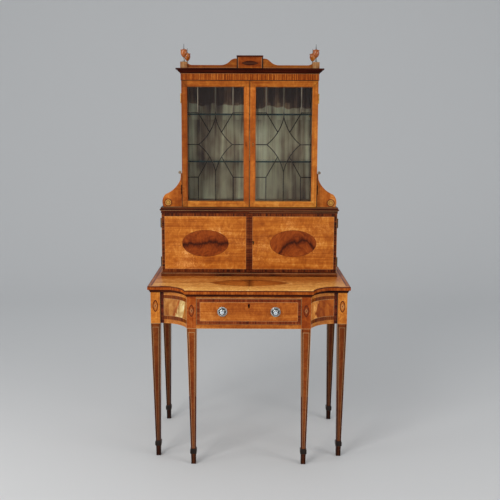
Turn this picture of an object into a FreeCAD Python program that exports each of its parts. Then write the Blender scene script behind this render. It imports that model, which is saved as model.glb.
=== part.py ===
"""Writing cabinet: a six-legged table with a hollow-cornered front and one drawer,
a two-door cupboard standing on it, and a glazed case with a gallery and four urns.
Millimetres, +Z up, the front faces -Y.  While it is drawn, y = 0 is the front face
of the two inner front legs; each piece is moved to the middle of the plan at the end.
"""
import FreeCAD, Part
import math
import os
from FreeCAD import Vector

# Shared working values
overrun = 1.0
seat_gap = 0.3
lay_gap = 0.5
door_gap = 1.2
bore_clearance = 0.05

# Table top
table_height = 756.0
top_thickness = 16.0
top_overhang = 12.0
top_rear_overhang = 4.0
top_edge_radius = 2.5
edge_facets = 3

# Table frame
table_span = 832.0
table_depth = 574.0
frieze_height = 146.5
leg_width = 40.0
hollow_width = 119.0
outer_setback = 88.0
rail_thickness = 20.0
hollow_thickness = 16.0
hollow_step = 9.0
hollow_reveal = 4.0

# Tapered leg below the frieze
ankle_width = 21.0
toe_width = 19.5
toe_height = 42.0
collar_height = 28.0
collar_swell = 3.2
collar_round_share = 0.3
leg_lean = 4.0

# Moulding under the table top
bed_height = 11.0
bed_step_height = 5.0
bed_lower_reach = 3.0
bed_upper_reach = 6.0

# Drawer
top_rail_height = 19.0
bottom_rail_height = 17.5
front_rail_depth = 30.0
drawer_front_thickness = 22.0
drawer_rear_space = 54.0
drawer_side_thickness = 10.0
drawer_lap = 7.0
tail_count = 4
tail_width_share = 0.56
tail_flare_share = 0.17
drawer_bottom_thickness = 6.0
drawer_bottom_rise = 8.0
groove_depth = 4.0
runner_width = 21.0
guide_width = 20.0
guide_height = 40.0
kicker_width = 27.0

# Drawer knobs
knob_spacing = 219.6
knob_rise_share = 0.5
knob_plate_radius = 18.5
knob_plate_thickness = 3.0
knob_bead_radius = 3.0
knob_bead_count = 16
knob_radius = 14.0
knob_length = 24.0
knob_sides = 12
knob_neck_radius = 6.0
knob_bolt_radius = 2.5

# Locks and their keyholes
lock_width = 46.0
lock_height = 38.0
lock_thickness = 10.0
lock_recess = 7.0
bolt_width = 18.0
bolt_thickness = 5.0
bolt_length = 16.0
bolt_travel = 8.0
bolt_clearance = 0.2
keyhole_radius = 2.8
keyhole_drop = 9.5
bush_wall = 1.6
bush_depth = 3.0
drawer_backset = 32.0
cupboard_backset = 17.5
glazed_backset = 14.5
glazed_bolt_length = 12.0

# Cupboard
cupboard_setback = 313.0
cupboard_inset = 25.5
cupboard_rear_inset = 8.0
cupboard_height = 310.0
board_thickness = 16.0
back_thickness = 8.0
cupboard_door_thickness = 18.0
base_height = 18.0
base_reach = 4.0
base_round = 5.0
crown_height = 25.0
crown_reach = 6.5
crown_neck_reach = 2.0
crown_neck_height = 3.0
crown_fillet_height = 6.0
crown_cap_height = 8.0
crown_cap_reach = 2.5
cupboard_top_thickness = 18.0

# Hinges
hinge_length = 40.0
hinge_leaf_width = 12.0
hinge_leaf_thickness = 1.5
hinge_knuckle_radius = 3.0
hinge_pin_radius = 1.3
hinge_button_radius = 2.2
hinge_button_height = 1.5
knuckle_gap = 0.2
cupboard_hinge_inset = 45.0
glazed_hinge_inset = 75.0

# Glazed case
case_step = 12.0
case_inset = 92.0
case_rear_inset = 6.0
case_height = 552.5
case_board_thickness = 16.0
case_end_thickness = 18.0
lining_thickness = 3.0
glazed_door_thickness = 20.0
stile_width = 26.0
rail_width = 27.0
glass_thickness = 3.0
rebate_width = 6.0
rebate_start = 12.0
glass_play = 1.0
bar_width = 4.0
bar_reveal = 3.0
shelf_thickness = 7.0
shelf_setback = 6.0
shelf_play = 0.5
shelf_rise_shares = (0.347, 0.7475)
peg_radius = 3.0
peg_length = 20.0
peg_depth = 10.0
peg_inset = 35.0

# Frieze and cornice of the glazed case
case_frieze_height = 29.5
case_frieze_reach = 2.0
case_frieze_depth = 30.0
cornice_height = 21.5
cornice_reach = 20.0
cornice_depth = 36.0
cornice_foot_reach = 3.0
cornice_foot_height = 4.0
cornice_lip_height = 6.0
cornice_lip_step = 3.0

# Gallery, tablet and finials
gallery_thickness = 12.0
gallery_low = 14.5
gallery_shoulder = 42.5
gallery_end_rise = 8.0
gallery_end_run = 22.0
ogee_outer = 126.0
ogee_inner = 62.0
ogee_turn_share = 0.62
tablet_width = 114.0
tablet_height = 47.5
tablet_proud = 3.0
tablet_cap_height = 8.5
tablet_cap_reach = 1.0
tablet_edge = 2.5
block_width = 30.0
block_height = 28.0
block_edge = 1.5
block_proud = 1.0
rear_block_inset = 16.0
urn_foot_radius = 6.5
urn_neck_radius = 2.4
urn_bowl_radius = 14.0
urn_lid_radius = 15.5
urn_foot_height = 19.0
urn_bowl_height = 29.0
urn_lid_height = 3.0
urn_dome_height = 4.0
urn_spike_radius = 1.8
urn_spike_height = 21.0

# Scroll brackets beside the glazed case
bracket_reach = 90.0
bracket_height = 148.0
bracket_thickness = 18.0
bracket_setback = 6.0
bracket_scroll_shares = ((0.96, 0.0), (1.005, 0.18), (0.85, 0.37))
bracket_hollow_shares = ((0.43, 0.53), (0.115, 0.80))
bracket_lip_shares = ((0.09, 0.9), (0.095, 1.0))
bracket_tip_radius = 6.2
bracket_tip_share = 0.6
roundel_radius = 17.0
roundel_proud = 4.0
roundel_centre_shares = (0.722, 0.123)

# Levels and planes worked out from the sizes above
top_underside = table_height - top_thickness
frieze_bottom = top_underside - frieze_height
opening_top = top_underside - top_rail_height
opening_bottom = frieze_bottom + bottom_rail_height
half_span = table_span / 2
half_knee = half_span - 2 * leg_width - hollow_width
hollow_outer_x = half_span - leg_width
hollow_inner_x = half_knee + leg_width
hollow_outer_y = outer_setback + hollow_step
hollow_run = hollow_outer_x - hollow_inner_x
hollow_centre_y = (
    (hollow_outer_y ** 2 - hollow_reveal ** 2 - hollow_run ** 2)
    / (2 * (hollow_outer_y - hollow_reveal))
)
hollow_radius = hollow_outer_y - hollow_centre_y

back_rail_front = table_depth - rail_thickness
drawer_length = back_rail_front - drawer_rear_space
drawer_half = half_knee - door_gap
drawer_floor = opening_bottom + door_gap
drawer_ceiling = opening_top - door_gap
runner_top = drawer_floor - seat_gap
knob_z = drawer_floor + (drawer_ceiling - drawer_floor) * knob_rise_share

cupboard_half = half_span - cupboard_inset
cupboard_back_y = table_depth - cupboard_rear_inset
cupboard_frame_y = cupboard_setback + cupboard_door_thickness + lay_gap
cupboard_floor = table_height + base_height
cupboard_top_z = table_height + cupboard_height
crown_bottom = cupboard_top_z - crown_height
cupboard_door_low = cupboard_floor + door_gap
cupboard_door_high = crown_bottom - door_gap

case_half = cupboard_half - case_inset
case_setback = cupboard_setback + case_step
case_back_y = cupboard_back_y - case_rear_inset
case_frame_y = case_setback + glazed_door_thickness + lay_gap
case_top_z = cupboard_top_z + case_height
case_door_low = cupboard_top_z + door_gap
case_door_high = case_top_z - door_gap
case_inner_half = case_half - case_board_thickness
case_floor = cupboard_top_z + case_end_thickness
case_ceiling = case_top_z - case_end_thickness
lining_front_y = case_back_y - back_thickness - lining_thickness
cornice_bottom = case_top_z + case_frieze_height
cornice_top = cornice_bottom + cornice_height
frieze_half = case_half + case_frieze_reach
frieze_front_y = case_setback - case_frieze_reach
block_x = frieze_half + block_proud - block_width / 2
front_block_y = frieze_front_y - block_proud + block_width / 2
rear_block_y = case_back_y - rear_block_inset - block_width / 2
block_top = cornice_top + block_height

knob_front_y = -(knob_plate_thickness + knob_length)
plan_back_y = table_depth + top_rear_overhang
plan_centre_y = (knob_front_y + plan_back_y) / 2

pieces = {}


def box(x0, x1, y0, y1, z0, z1):
    """A squared piece between two corners."""
    return Part.makeBox(x1 - x0, y1 - y0, z1 - z0, Vector(x0, y0, z0))


def mirrored(shape):
    """The same piece on the other side of the centre line."""
    return shape.mirror(Vector(), Vector(1, 0, 0))


def both_sides(shape):
    """A right-hand piece with its left-hand partner."""
    return [mirrored(shape), shape]


def cylinder(radius, start, end):
    """A round bar from one point to another."""
    along = end - start
    return Part.makeCylinder(radius, along.Length, start, along)


def outline(points):
    """A closed flat face.  A pair of points is an arc: its middle and its end."""
    edges = []
    here = points[0]
    for step in points[1:] + [points[0]]:
        if isinstance(step, tuple):
            edges.append(Part.Arc(here, step[0], step[1]).toShape())
            here = step[1]
        else:
            edges.append(Part.makeLine(here, step))
            here = step
    return Part.Face(Part.Wire(edges))


def level_arc(level, other):
    """The middle of an arc in XZ that is level at one end and passes the other."""
    run = abs(other.x - level.x)
    rise = abs(other.z - level.z)
    radius = (run ** 2 + rise ** 2) / (2 * rise)
    half_turn = math.atan2(run, radius - rise) / 2
    return Vector(
        level.x + math.copysign(radius * math.sin(half_turn), other.x - level.x),
        level.y,
        level.z + math.copysign(radius * (1 - math.cos(half_turn)), other.z - level.z),
    )


def round_edges(shape, radius, chosen):
    """Round the edges that the test picks."""
    return shape.makeFillet(radius, [edge for edge in shape.Edges if chosen(edge)])


def is_level(edge):
    """True for an edge that lies in one horizontal plane."""
    tilt_share = 1e-6
    return edge.BoundBox.ZLength < edge.Length * tilt_share


def mitred_surround(profile, half_width, front_y, back_y):
    """Three lengths of one moulding round a front and two sides, mitred in front.
    The profile is in XZ, with x measured outwards from the faces it runs round."""
    face = outline(profile)
    reach = face.BoundBox.XMax
    depth = -face.BoundBox.XMin
    low = face.BoundBox.ZMin - overrun
    tall = face.BoundBox.ZMax + overrun - low

    def miter(points):
        return outline([Vector(x, y, low) for x, y in points]).extrude(Vector(0, 0, tall))

    outer = half_width + reach
    inner = half_width - depth
    side_face = face.copy()
    side_face.translate(Vector(half_width, front_y - reach, 0))
    side_run = side_face.extrude(Vector(0, back_y - front_y + reach, 0))
    side_cut = miter([
        (outer, front_y - reach), (outer, back_y), (inner, back_y), (inner, front_y + depth),
    ])
    side = side_run.common(side_cut)
    front_face = face.copy()
    front_face.rotate(Vector(), Vector(0, 0, 1), -90)
    front_face.translate(Vector(-outer, front_y, 0))
    front_run = front_face.extrude(Vector(2 * outer, 0, 0))
    front_cut = miter([
        (-outer, front_y - reach), (outer, front_y - reach),
        (inner, front_y + depth), (-inner, front_y + depth),
    ])
    return [front_run.common(front_cut)] + both_sides(side)


def square_wire(x, y, z, width):
    """A level square round a centre."""
    half = width / 2
    corners = [
        Vector(x - half, y - half, z), Vector(x + half, y - half, z),
        Vector(x + half, y + half, z), Vector(x - half, y + half, z),
    ]
    return Part.makePolygon(corners + corners[:1])


# Legs: a square block through the frieze, then a taper that leans inwards a little
def leg_centre_x(x, z):
    """Where the leg's middle is at a height, for a leg on the right."""
    return x - leg_lean * (1 - z / frieze_bottom)


def make_leg(x, front_y):
    """One right-hand leg, from the floor to the underside of the top."""
    y = front_y + leg_width / 2
    ankle_z = toe_height + collar_height
    half = leg_width / 2
    block = box(x - half, x + half, front_y, front_y + leg_width, frieze_bottom, top_underside)
    taper = Part.makeLoft([
        square_wire(x, y, frieze_bottom, leg_width),
        square_wire(leg_centre_x(x, ankle_z), y, ankle_z, ankle_width),
        square_wire(leg_centre_x(x, 0), y, 0, toe_width),
    ], True, True)
    return block.fuse(taper).removeSplitter()


def make_collar(x, front_y, leg):
    """The swelling dark collar round one ankle."""
    half = ankle_width / 2 + collar_swell
    y = front_y + leg_width / 2
    middle = leg_centre_x(x, toe_height + collar_height / 2)
    ring = box(
        middle - half, middle + half, y - half, y + half,
        toe_height, toe_height + collar_height,
    )
    ring = round_edges(ring, collar_height * collar_round_share, is_level)
    return ring.cut(leg)


leg_places = {
    "inner": (half_knee + leg_width / 2, 0.0),
    "outer": (half_span - leg_width / 2, outer_setback),
    "rear": (half_span - leg_width / 2, table_depth - leg_width),
}
collars = []
for place, (leg_x, leg_front) in leg_places.items():
    right_leg = make_leg(leg_x, leg_front)
    pieces["leg_" + place + "_right"] = [right_leg]
    pieces["leg_" + place + "_left"] = [mirrored(right_leg)]
    collars += both_sides(make_collar(leg_x, leg_front, right_leg))
pieces["leg_collars"] = collars


# Hollow frieze panels, rails and back of the table
def arc_point(radius, x):
    """A point on the hollow's arcs at a given x, in plan."""
    return Vector(x, hollow_centre_y + math.sqrt(radius ** 2 - (hollow_outer_x - x) ** 2), 0)


def arc_middle(radius, start, end):
    """The middle of an arc about the hollow's centre, in plan."""
    centre = Vector(hollow_outer_x, hollow_centre_y, 0)
    towards = (start + end) * 0.5 - centre
    return centre + towards.normalize() * radius


def arc_to(radius, start, end):
    """A step of an outline: the arc about the hollow's centre."""
    return (arc_middle(radius, start, end), end)


def upright(face, low, high):
    """A plan outline raised into a solid."""
    face = face.copy()
    face.translate(Vector(0, 0, low))
    return face.extrude(Vector(0, 0, high - low))


back_radius = hollow_radius + hollow_thickness
front_inner = arc_point(hollow_radius, hollow_inner_x)
front_outer = arc_point(hollow_radius, hollow_outer_x)
back_outer = arc_point(back_radius, hollow_outer_x)
back_inner = arc_point(back_radius, hollow_inner_x)
hollow_face = outline([
    front_inner, arc_to(hollow_radius, front_inner, front_outer),
    back_outer, arc_to(back_radius, back_outer, back_inner),
])
hollow = upright(hollow_face, frieze_bottom, top_underside)
pieces["frieze_hollow_right"] = [hollow]
pieces["frieze_hollow_left"] = [mirrored(hollow)]

side_rail = box(
    half_span - rail_thickness, half_span, outer_setback + leg_width,
    table_depth - leg_width, frieze_bottom, top_underside,
)
pieces["side_rails"] = both_sides(side_rail)
pieces["back_rail"] = [box(
    -hollow_outer_x, hollow_outer_x, back_rail_front, table_depth, frieze_bottom, top_underside,
)]


# Table top and the stepped moulding under it
def carcass_face():
    """The right-hand plan of the frieze itself."""
    return [
        Vector(hollow_inner_x, 0, 0), front_inner,
        arc_to(hollow_radius, front_inner, front_outer),
        Vector(hollow_outer_x, outer_setback, 0), Vector(half_span, outer_setback, 0),
        Vector(half_span, table_depth, 0),
    ]


def plan_face(reach, rear_reach):
    """The right-hand plan that stands out from the frieze by a reach."""
    radius = hollow_radius - reach
    front = -reach
    wing = outer_setback - reach
    cusp_x = hollow_outer_x - math.sqrt(radius ** 2 - (front - hollow_centre_y) ** 2)
    join_x = hollow_outer_x - math.sqrt(radius ** 2 - (wing - hollow_centre_y) ** 2)
    cusp = Vector(cusp_x, front, 0)
    join = Vector(join_x, wing, 0)
    return [
        cusp, arc_to(radius, cusp, join),
        Vector(half_span + reach, wing, 0),
        Vector(half_span + reach, table_depth + rear_reach, 0),
    ]


def whole_plan(right):
    """A right-hand plan closed along the centre line and joined to its mirror."""
    last = right[-1]
    first = right[0]
    half = outline([Vector(0, first.y, 0)] + right + [Vector(0, last.y, 0)])
    slab = half.extrude(Vector(0, 0, top_thickness))
    whole = slab.fuse(mirrored(slab)).removeSplitter()
    return min(whole.Faces, key=lambda face: face.CenterOfMass.z)


def plan_solid(right, low, high):
    """A plan raised between two levels."""
    return upright(whole_plan(right), low, high)


def top_edge_levels():
    """Height above the underside and loss of reach, round the top's softened edges."""
    levels = []
    for turn in range(edge_facets + 1):
        angle = math.radians(90 * turn / edge_facets)
        levels.append((
            top_edge_radius * (1 - math.cos(angle)), top_edge_radius * (1 - math.sin(angle)),
        ))
    return levels + [(top_thickness - height, loss) for height, loss in reversed(levels)]


top_sections = []
for height, loss in top_edge_levels():
    section = whole_plan(plan_face(top_overhang - loss, top_rear_overhang)).OuterWire
    section.translate(Vector(0, 0, top_underside + height))
    top_sections.append(section)
pieces["table_top"] = [Part.makeLoft(top_sections, True, True)]

carcass = plan_solid(carcass_face(), top_underside - bed_height, top_underside)
bed = plan_solid(plan_face(bed_lower_reach, 0), top_underside - bed_height, top_underside)
step = plan_solid(plan_face(bed_upper_reach, 0), top_underside - bed_step_height, top_underside)
pieces["top_moulding"] = [bed.fuse(step).cut(carcass).removeSplitter()]


# Locks: a case with a bolt that slides out of its edge, drawn with the bolt's way up
def lock_body(height, length):
    """The lock case below its edge at z = 0, with the bolt's slot and the key's hole."""
    half = lock_width / 2
    deep = lock_thickness / 2
    case = box(-half, half, -deep, deep, -height, 0)
    slot_x = bolt_width / 2 + bolt_clearance
    slot_y = bolt_thickness / 2 + bolt_clearance
    return case.cut(box(-slot_x, slot_x, -slot_y, slot_y, -length - seat_gap, overrun))


def lock_bolt(length):
    """The bolt drawn back, its end just inside the edge."""
    half = bolt_width / 2
    deep = bolt_thickness / 2
    return box(-half, half, -deep, deep, -length, -seat_gap)


def lock_mortise():
    """The hole in the facing edge that takes the thrown bolt."""
    half = bolt_width / 2 + seat_gap
    deep = bolt_thickness / 2 + seat_gap
    return box(-half, half, -deep, deep, -overrun, bolt_travel + door_gap)


def turned_left(shape):
    """A lock piece turned so that its bolt moves to the left."""
    return shape.rotated(Vector(), Vector(0, 1, 0), -90)


def moved(shape, x, y, z):
    """A copy of a piece at its place."""
    return shape.translated(Vector(x, y, z))


def keyhole(x, z, front_y, back_y, wall):
    """A keyhole-shaped prism through a front, wider by a wall for its bush."""
    radius = keyhole_radius + wall
    narrow = keyhole_radius / 2 + wall
    depth = back_y - front_y
    eye = Part.makeCylinder(radius, depth, Vector(x, front_y, z), Vector(0, 1, 0))
    foot = Part.makeCylinder(
        narrow, depth, Vector(x, front_y, z - keyhole_drop), Vector(0, 1, 0),
    )
    slot = box(x - narrow, x + narrow, front_y, back_y, z - keyhole_drop, z)
    return eye.fuse([foot, slot]).removeSplitter()


def keyhole_bush(x, z, front_y):
    """The thin brass bush let into the front round a keyhole."""
    outer = keyhole(x, z, front_y, front_y + bush_depth, bush_wall)
    return outer.cut(keyhole(x, z, front_y - overrun, front_y + bush_depth + overrun, 0))


def keyhole_cuts(x, z, front_y, back_y):
    """What a front loses to a keyhole and its bush."""
    return [
        keyhole(x, z, front_y - overrun, back_y + overrun, 0),
        keyhole(x, z, front_y - overrun, front_y + bush_depth, bush_wall),
    ]


# Drawer rails, with the mortise for the drawer lock's bolt
drawer_lock_y = drawer_front_thickness - lock_recess + lock_thickness / 2
rail_mortise = moved(lock_mortise(), 0, drawer_lock_y, drawer_ceiling)
rail_top = box(-half_knee, half_knee, 0, front_rail_depth, opening_top, top_underside)
pieces["drawer_rail_top"] = [rail_top.cut(rail_mortise)]
pieces["drawer_rail_bottom"] = [box(
    -half_knee, half_knee, 0, front_rail_depth, frieze_bottom, opening_bottom,
)]

# Runners with their guides, and kickers above the drawer sides
runner = box(
    half_knee - runner_width, half_knee, front_rail_depth, back_rail_front,
    frieze_bottom, runner_top,
)
guide = box(
    half_knee, half_knee + guide_width, leg_width, back_rail_front,
    frieze_bottom, runner_top + guide_height,
)
kicker = box(
    half_knee - kicker_width, half_knee, front_rail_depth, back_rail_front,
    opening_top, top_underside,
)
pieces["drawer_runners"] = both_sides(runner.fuse(guide).removeSplitter()) + both_sides(kicker)

# Drawer box
drawer_inner_half = drawer_half - drawer_side_thickness
floor_low = drawer_floor + drawer_bottom_rise
floor_high = floor_low + drawer_bottom_thickness
drawer_floor_panel = box(
    -drawer_inner_half - groove_depth, drawer_inner_half + groove_depth,
    drawer_front_thickness - groove_depth, drawer_length, floor_low, floor_high,
)


def dovetail(number):
    """One tail of the right-hand side, wider at its tip, which laps into the front."""
    pitch = (drawer_ceiling - drawer_floor) / tail_count
    middle = drawer_floor + pitch * (number + 1 / 2)
    root = pitch * tail_width_share / 2
    tip = root + (drawer_front_thickness - drawer_lap) * tail_flare_share
    return outline([
        Vector(drawer_inner_half, drawer_front_thickness, middle - root),
        Vector(drawer_inner_half, drawer_lap, middle - tip),
        Vector(drawer_inner_half, drawer_lap, middle + tip),
        Vector(drawer_inner_half, drawer_front_thickness, middle + root),
    ]).extrude(Vector(drawer_side_thickness, 0, 0))


tails = [dovetail(number) for number in range(tail_count)]
drawer_side = box(
    drawer_inner_half, drawer_half, drawer_front_thickness, drawer_length,
    drawer_floor, drawer_ceiling,
).fuse(tails).removeSplitter().cut(drawer_floor_panel)
pieces["drawer_sides"] = both_sides(drawer_side)
pieces["drawer_back"] = [box(
    -drawer_inner_half, drawer_inner_half, drawer_length - drawer_side_thickness,
    drawer_length, floor_high, drawer_ceiling,
)]
pieces["drawer_bottom"] = [drawer_floor_panel]

keyhole_z = drawer_ceiling - drawer_backset + keyhole_drop / 2
drawer_lock = moved(lock_body(lock_height, bolt_length), 0, drawer_lock_y, drawer_ceiling)
lock_space = box(
    -lock_width / 2, lock_width / 2, drawer_front_thickness - lock_recess,
    drawer_front_thickness + overrun, drawer_ceiling - lock_height, drawer_ceiling + overrun,
)
drawer_front = box(
    -drawer_half, drawer_half, 0, drawer_front_thickness, drawer_floor, drawer_ceiling,
)
drawer_front = drawer_front.cut([drawer_floor_panel, lock_space] + both_sides(drawer_side))
drawer_front = drawer_front.cut(keyhole_cuts(0, keyhole_z, 0, drawer_front_thickness))
key_way = keyhole(0, keyhole_z, 0, drawer_lock_y, 0)
knob_bolts = []
for knob_x in (-knob_spacing / 2, knob_spacing / 2):
    knob_bolts.append(cylinder(
        knob_bolt_radius, Vector(knob_x, -knob_plate_thickness, knob_z),
        Vector(knob_x, drawer_front_thickness, knob_z),
    ))
drawer_front = drawer_front.cut(knob_bolts)
pieces["drawer_front"] = [drawer_front]
pieces["drawer_lock"] = [drawer_lock.cut(key_way), keyhole_bush(0, keyhole_z, 0)]
pieces["drawer_lock_bolt"] = [moved(lock_bolt(bolt_length), 0, drawer_lock_y, drawer_ceiling)]


# Knobs: a beaded plate, and a cut glass knob on a bolt through the drawer front
def knob_ring(radius, distance, x):
    """One many-sided section of the knob."""
    corners = []
    for corner in range(knob_sides):
        turn = math.radians(360 * corner / knob_sides)
        corners.append(Vector(
            x + radius * math.cos(turn), -knob_plate_thickness - distance,
            knob_z + radius * math.sin(turn),
        ))
    return Part.makePolygon(corners + corners[:1])


def make_knob(x, bolt):
    """The glass knob with its bolt."""
    neck_share = 0.3
    girdle_share = 0.72
    table_share = 0.55
    sections = [
        knob_ring(knob_radius * girdle_share, 0, x),
        knob_ring(knob_neck_radius, knob_length * neck_share, x),
        knob_ring(knob_radius, knob_length * girdle_share, x),
        knob_ring(knob_radius * table_share, knob_length, x),
    ]
    return Part.makeLoft(sections, True, True).fuse(bolt)


def make_plate(x, bolt):
    """The round plate with a beaded rim."""
    back = Vector(x, 0, knob_z)
    front = Vector(x, -knob_plate_thickness, knob_z)
    beads = []
    for bead in range(knob_bead_count):
        turn = math.radians(360 * bead / knob_bead_count)
        aside = Vector(math.cos(turn), 0, math.sin(turn)) * knob_plate_radius
        beads.append(cylinder(knob_bead_radius, back + aside, front + aside))
    return cylinder(knob_plate_radius, back, front).fuse(beads).removeSplitter().cut(bolt)


knob_places = (-knob_spacing / 2, knob_spacing / 2)
pieces["knobs"] = [make_knob(x, bolt) for x, bolt in zip(knob_places, knob_bolts)]
pieces["knob_plates"] = [make_plate(x, bolt) for x, bolt in zip(knob_places, knob_bolts)]


# Hinges: the fixed leaf and pin belong to the frame, the other leaf to the door
def hinge(half_width, door_back_y, middle_z):
    """A right-hand butt hinge: fixed leaf, door leaf, pin, and the two leaf recesses."""
    axis_x = half_width + hinge_knuckle_radius + seat_gap
    axis_y = door_back_y + lay_gap / 2
    low = middle_z - hinge_length / 2
    high = middle_z + hinge_length / 2
    frame_y = door_back_y + lay_gap
    third = hinge_length / 3
    spans = [
        (low, low + third), (low + third + knuckle_gap, high - third - knuckle_gap),
        (high - third, high),
    ]

    def leaf(y0, owned):
        plate = box(half_width - hinge_leaf_width, half_width, y0,
                    y0 + hinge_leaf_thickness, low, high)
        parts = []
        for z0, z1 in owned:
            parts.append(box(half_width, axis_x, y0, y0 + hinge_leaf_thickness, z0, z1))
            parts.append(cylinder(
                hinge_knuckle_radius, Vector(axis_x, axis_y, z0), Vector(axis_x, axis_y, z1),
            ))
        bore = cylinder(
            hinge_pin_radius + bore_clearance,
            Vector(axis_x, axis_y, low - overrun), Vector(axis_x, axis_y, high + overrun),
        )
        return plate, plate.fuse(parts).cut(bore).removeSplitter()

    fixed_plate, fixed = leaf(frame_y, [spans[0], spans[2]])
    door_plate, moving = leaf(door_back_y - hinge_leaf_thickness, [spans[1]])
    pin = cylinder(hinge_pin_radius, Vector(axis_x, axis_y, low), Vector(axis_x, axis_y, high))
    for end, away in ((low, -hinge_button_height), (high, hinge_button_height)):
        pin = pin.fuse(cylinder(
            hinge_button_radius, Vector(axis_x, axis_y, end), Vector(axis_x, axis_y, end + away),
        ))
    return {"fixed": fixed, "moving": moving, "pin": pin,
            "frame_recess": fixed_plate, "door_recess": door_plate}


def hinge_pair(half_width, door_back_y, low, high, inset):
    """The two hinges of one door."""
    return [hinge(half_width, door_back_y, z) for z in (low + inset, high - inset)]


cupboard_hinges = hinge_pair(
    cupboard_half, cupboard_setback + cupboard_door_thickness,
    cupboard_door_low, cupboard_door_high, cupboard_hinge_inset,
)
case_hinges = hinge_pair(
    case_half, case_setback + glazed_door_thickness,
    case_door_low, case_door_high, glazed_hinge_inset,
)
fixed_halves = []
for each in cupboard_hinges + case_hinges:
    fixed_halves += both_sides(each["fixed"])
    fixed_halves += both_sides(each["pin"])
pieces["hinge_frame_leaves"] = fixed_halves
pieces["cupboard_hinge_leaves_left"] = [mirrored(each["moving"]) for each in cupboard_hinges]

# Cupboard: base moulding, boards and stepped crown
round_loss = base_round * (1 - math.cos(math.radians(45)))
round_middle = Vector(base_reach - round_loss, 0, cupboard_floor - round_loss)
base_profile = [
    Vector(-board_thickness, 0, table_height), Vector(base_reach, 0, table_height),
    Vector(base_reach, 0, cupboard_floor - base_round),
    (round_middle, Vector(base_reach - base_round, 0, cupboard_floor)),
    Vector(-board_thickness, 0, cupboard_floor),
]
pieces["cupboard_base_moulding"] = mitred_surround(
    base_profile, cupboard_half, cupboard_setback, cupboard_back_y,
)
cap_bottom = cupboard_top_z - crown_cap_height
fillet_bottom = cap_bottom - crown_fillet_height
cove_bottom = Vector(crown_neck_reach, 0, crown_bottom + crown_neck_height)
cove_top = Vector(crown_reach, 0, fillet_bottom)
crown_profile = [
    Vector(-board_thickness, 0, crown_bottom), Vector(crown_neck_reach, 0, crown_bottom),
    cove_bottom, (level_arc(cove_top, cove_bottom), cove_top),
    Vector(crown_reach, 0, cap_bottom), Vector(crown_cap_reach, 0, cap_bottom),
    Vector(crown_cap_reach, 0, cupboard_top_z), Vector(-board_thickness, 0, cupboard_top_z),
]
pieces["cupboard_crown"] = mitred_surround(
    crown_profile, cupboard_half, cupboard_setback, cupboard_back_y,
)
board_half = cupboard_half - board_thickness
board_front = cupboard_setback + board_thickness
pieces["cupboard_bottom"] = [box(
    -board_half, board_half, board_front, cupboard_back_y, table_height, cupboard_floor,
)]
cupboard_ceiling = cupboard_top_z - cupboard_top_thickness
pieces["cupboard_top"] = [box(
    -board_half, board_half, board_front, cupboard_back_y, cupboard_ceiling, cupboard_top_z,
)]
cupboard_side = box(
    board_half, cupboard_half, cupboard_frame_y, cupboard_back_y, cupboard_floor, crown_bottom,
)
cupboard_side = cupboard_side.cut([each["frame_recess"] for each in cupboard_hinges])
pieces["cupboard_sides"] = both_sides(cupboard_side)
pieces["cupboard_back"] = [box(
    -board_half, board_half, cupboard_back_y - back_thickness, cupboard_back_y,
    cupboard_floor, cupboard_ceiling,
)]

# Cupboard doors, laid on the front edges of the boards; the right one has the lock
cupboard_door_back = cupboard_setback + cupboard_door_thickness
half_meeting = door_gap / 2
cupboard_door = box(
    half_meeting, cupboard_half, cupboard_setback, cupboard_door_back,
    cupboard_door_low, cupboard_door_high,
).cut([each["door_recess"] for each in cupboard_hinges])
cupboard_lock_z = (cupboard_door_low + cupboard_door_high) / 2
cupboard_lock_y = cupboard_door_back - lock_recess + lock_thickness / 2
cupboard_key_z = cupboard_lock_z + keyhole_drop / 2
meeting_mortise = moved(
    turned_left(lock_mortise()), half_meeting, cupboard_lock_y, cupboard_lock_z,
)
pieces["cupboard_door_left"] = [mirrored(cupboard_door).cut(meeting_mortise)]
lock_space = box(
    half_meeting - overrun, half_meeting + lock_height, cupboard_door_back - lock_recess,
    cupboard_door_back + overrun, cupboard_lock_z - lock_width / 2,
    cupboard_lock_z + lock_width / 2,
)
right_door = cupboard_door.cut(lock_space)
right_door = right_door.cut(keyhole_cuts(
    half_meeting + cupboard_backset, cupboard_key_z, cupboard_setback, cupboard_door_back,
))
pieces["cupboard_door_right"] = [right_door]
cupboard_lock = moved(
    turned_left(lock_body(lock_height, bolt_length)),
    half_meeting, cupboard_lock_y, cupboard_lock_z,
)
cupboard_lock = cupboard_lock.cut(keyhole(
    half_meeting + cupboard_backset, cupboard_key_z, cupboard_setback,
    cupboard_lock_y, 0,
))
pieces["cupboard_door_right_brass"] = [each["moving"] for each in cupboard_hinges] + [
    cupboard_lock,
    keyhole_bush(half_meeting + cupboard_backset, cupboard_key_z, cupboard_setback),
]
pieces["cupboard_lock_bolt"] = [moved(
    turned_left(lock_bolt(bolt_length)), half_meeting, cupboard_lock_y, cupboard_lock_z,
)]

# Glazed case: ends, sides, back, its fabric-covered lining, shelves on pegs
shelf_front = case_frame_y + shelf_setback
shelf_levels = [
    case_floor + (case_ceiling - case_floor) * share for share in shelf_rise_shares
]
peg_rows = (shelf_front + peg_inset, lining_front_y - peg_inset)
pegs = []
for level in shelf_levels:
    for row in peg_rows:
        peg = cylinder(
            peg_radius, Vector(case_inner_half + peg_depth, row, level - peg_radius),
            Vector(case_inner_half + peg_depth - peg_length, row, level - peg_radius),
        )
        pegs += both_sides(peg)
pieces["shelf_pegs"] = pegs
pieces["glass_shelves"] = [
    box(
        shelf_play - case_inner_half, case_inner_half - shelf_play, shelf_front,
        lining_front_y - shelf_play, level, level + shelf_thickness,
    )
    for level in shelf_levels
]
case_side = box(
    case_inner_half, case_half, case_frame_y, case_back_y, cupboard_top_z, case_top_z,
)
case_side = case_side.cut([each["frame_recess"] for each in case_hinges] + pegs)
pieces["case_sides"] = both_sides(case_side)
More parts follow.
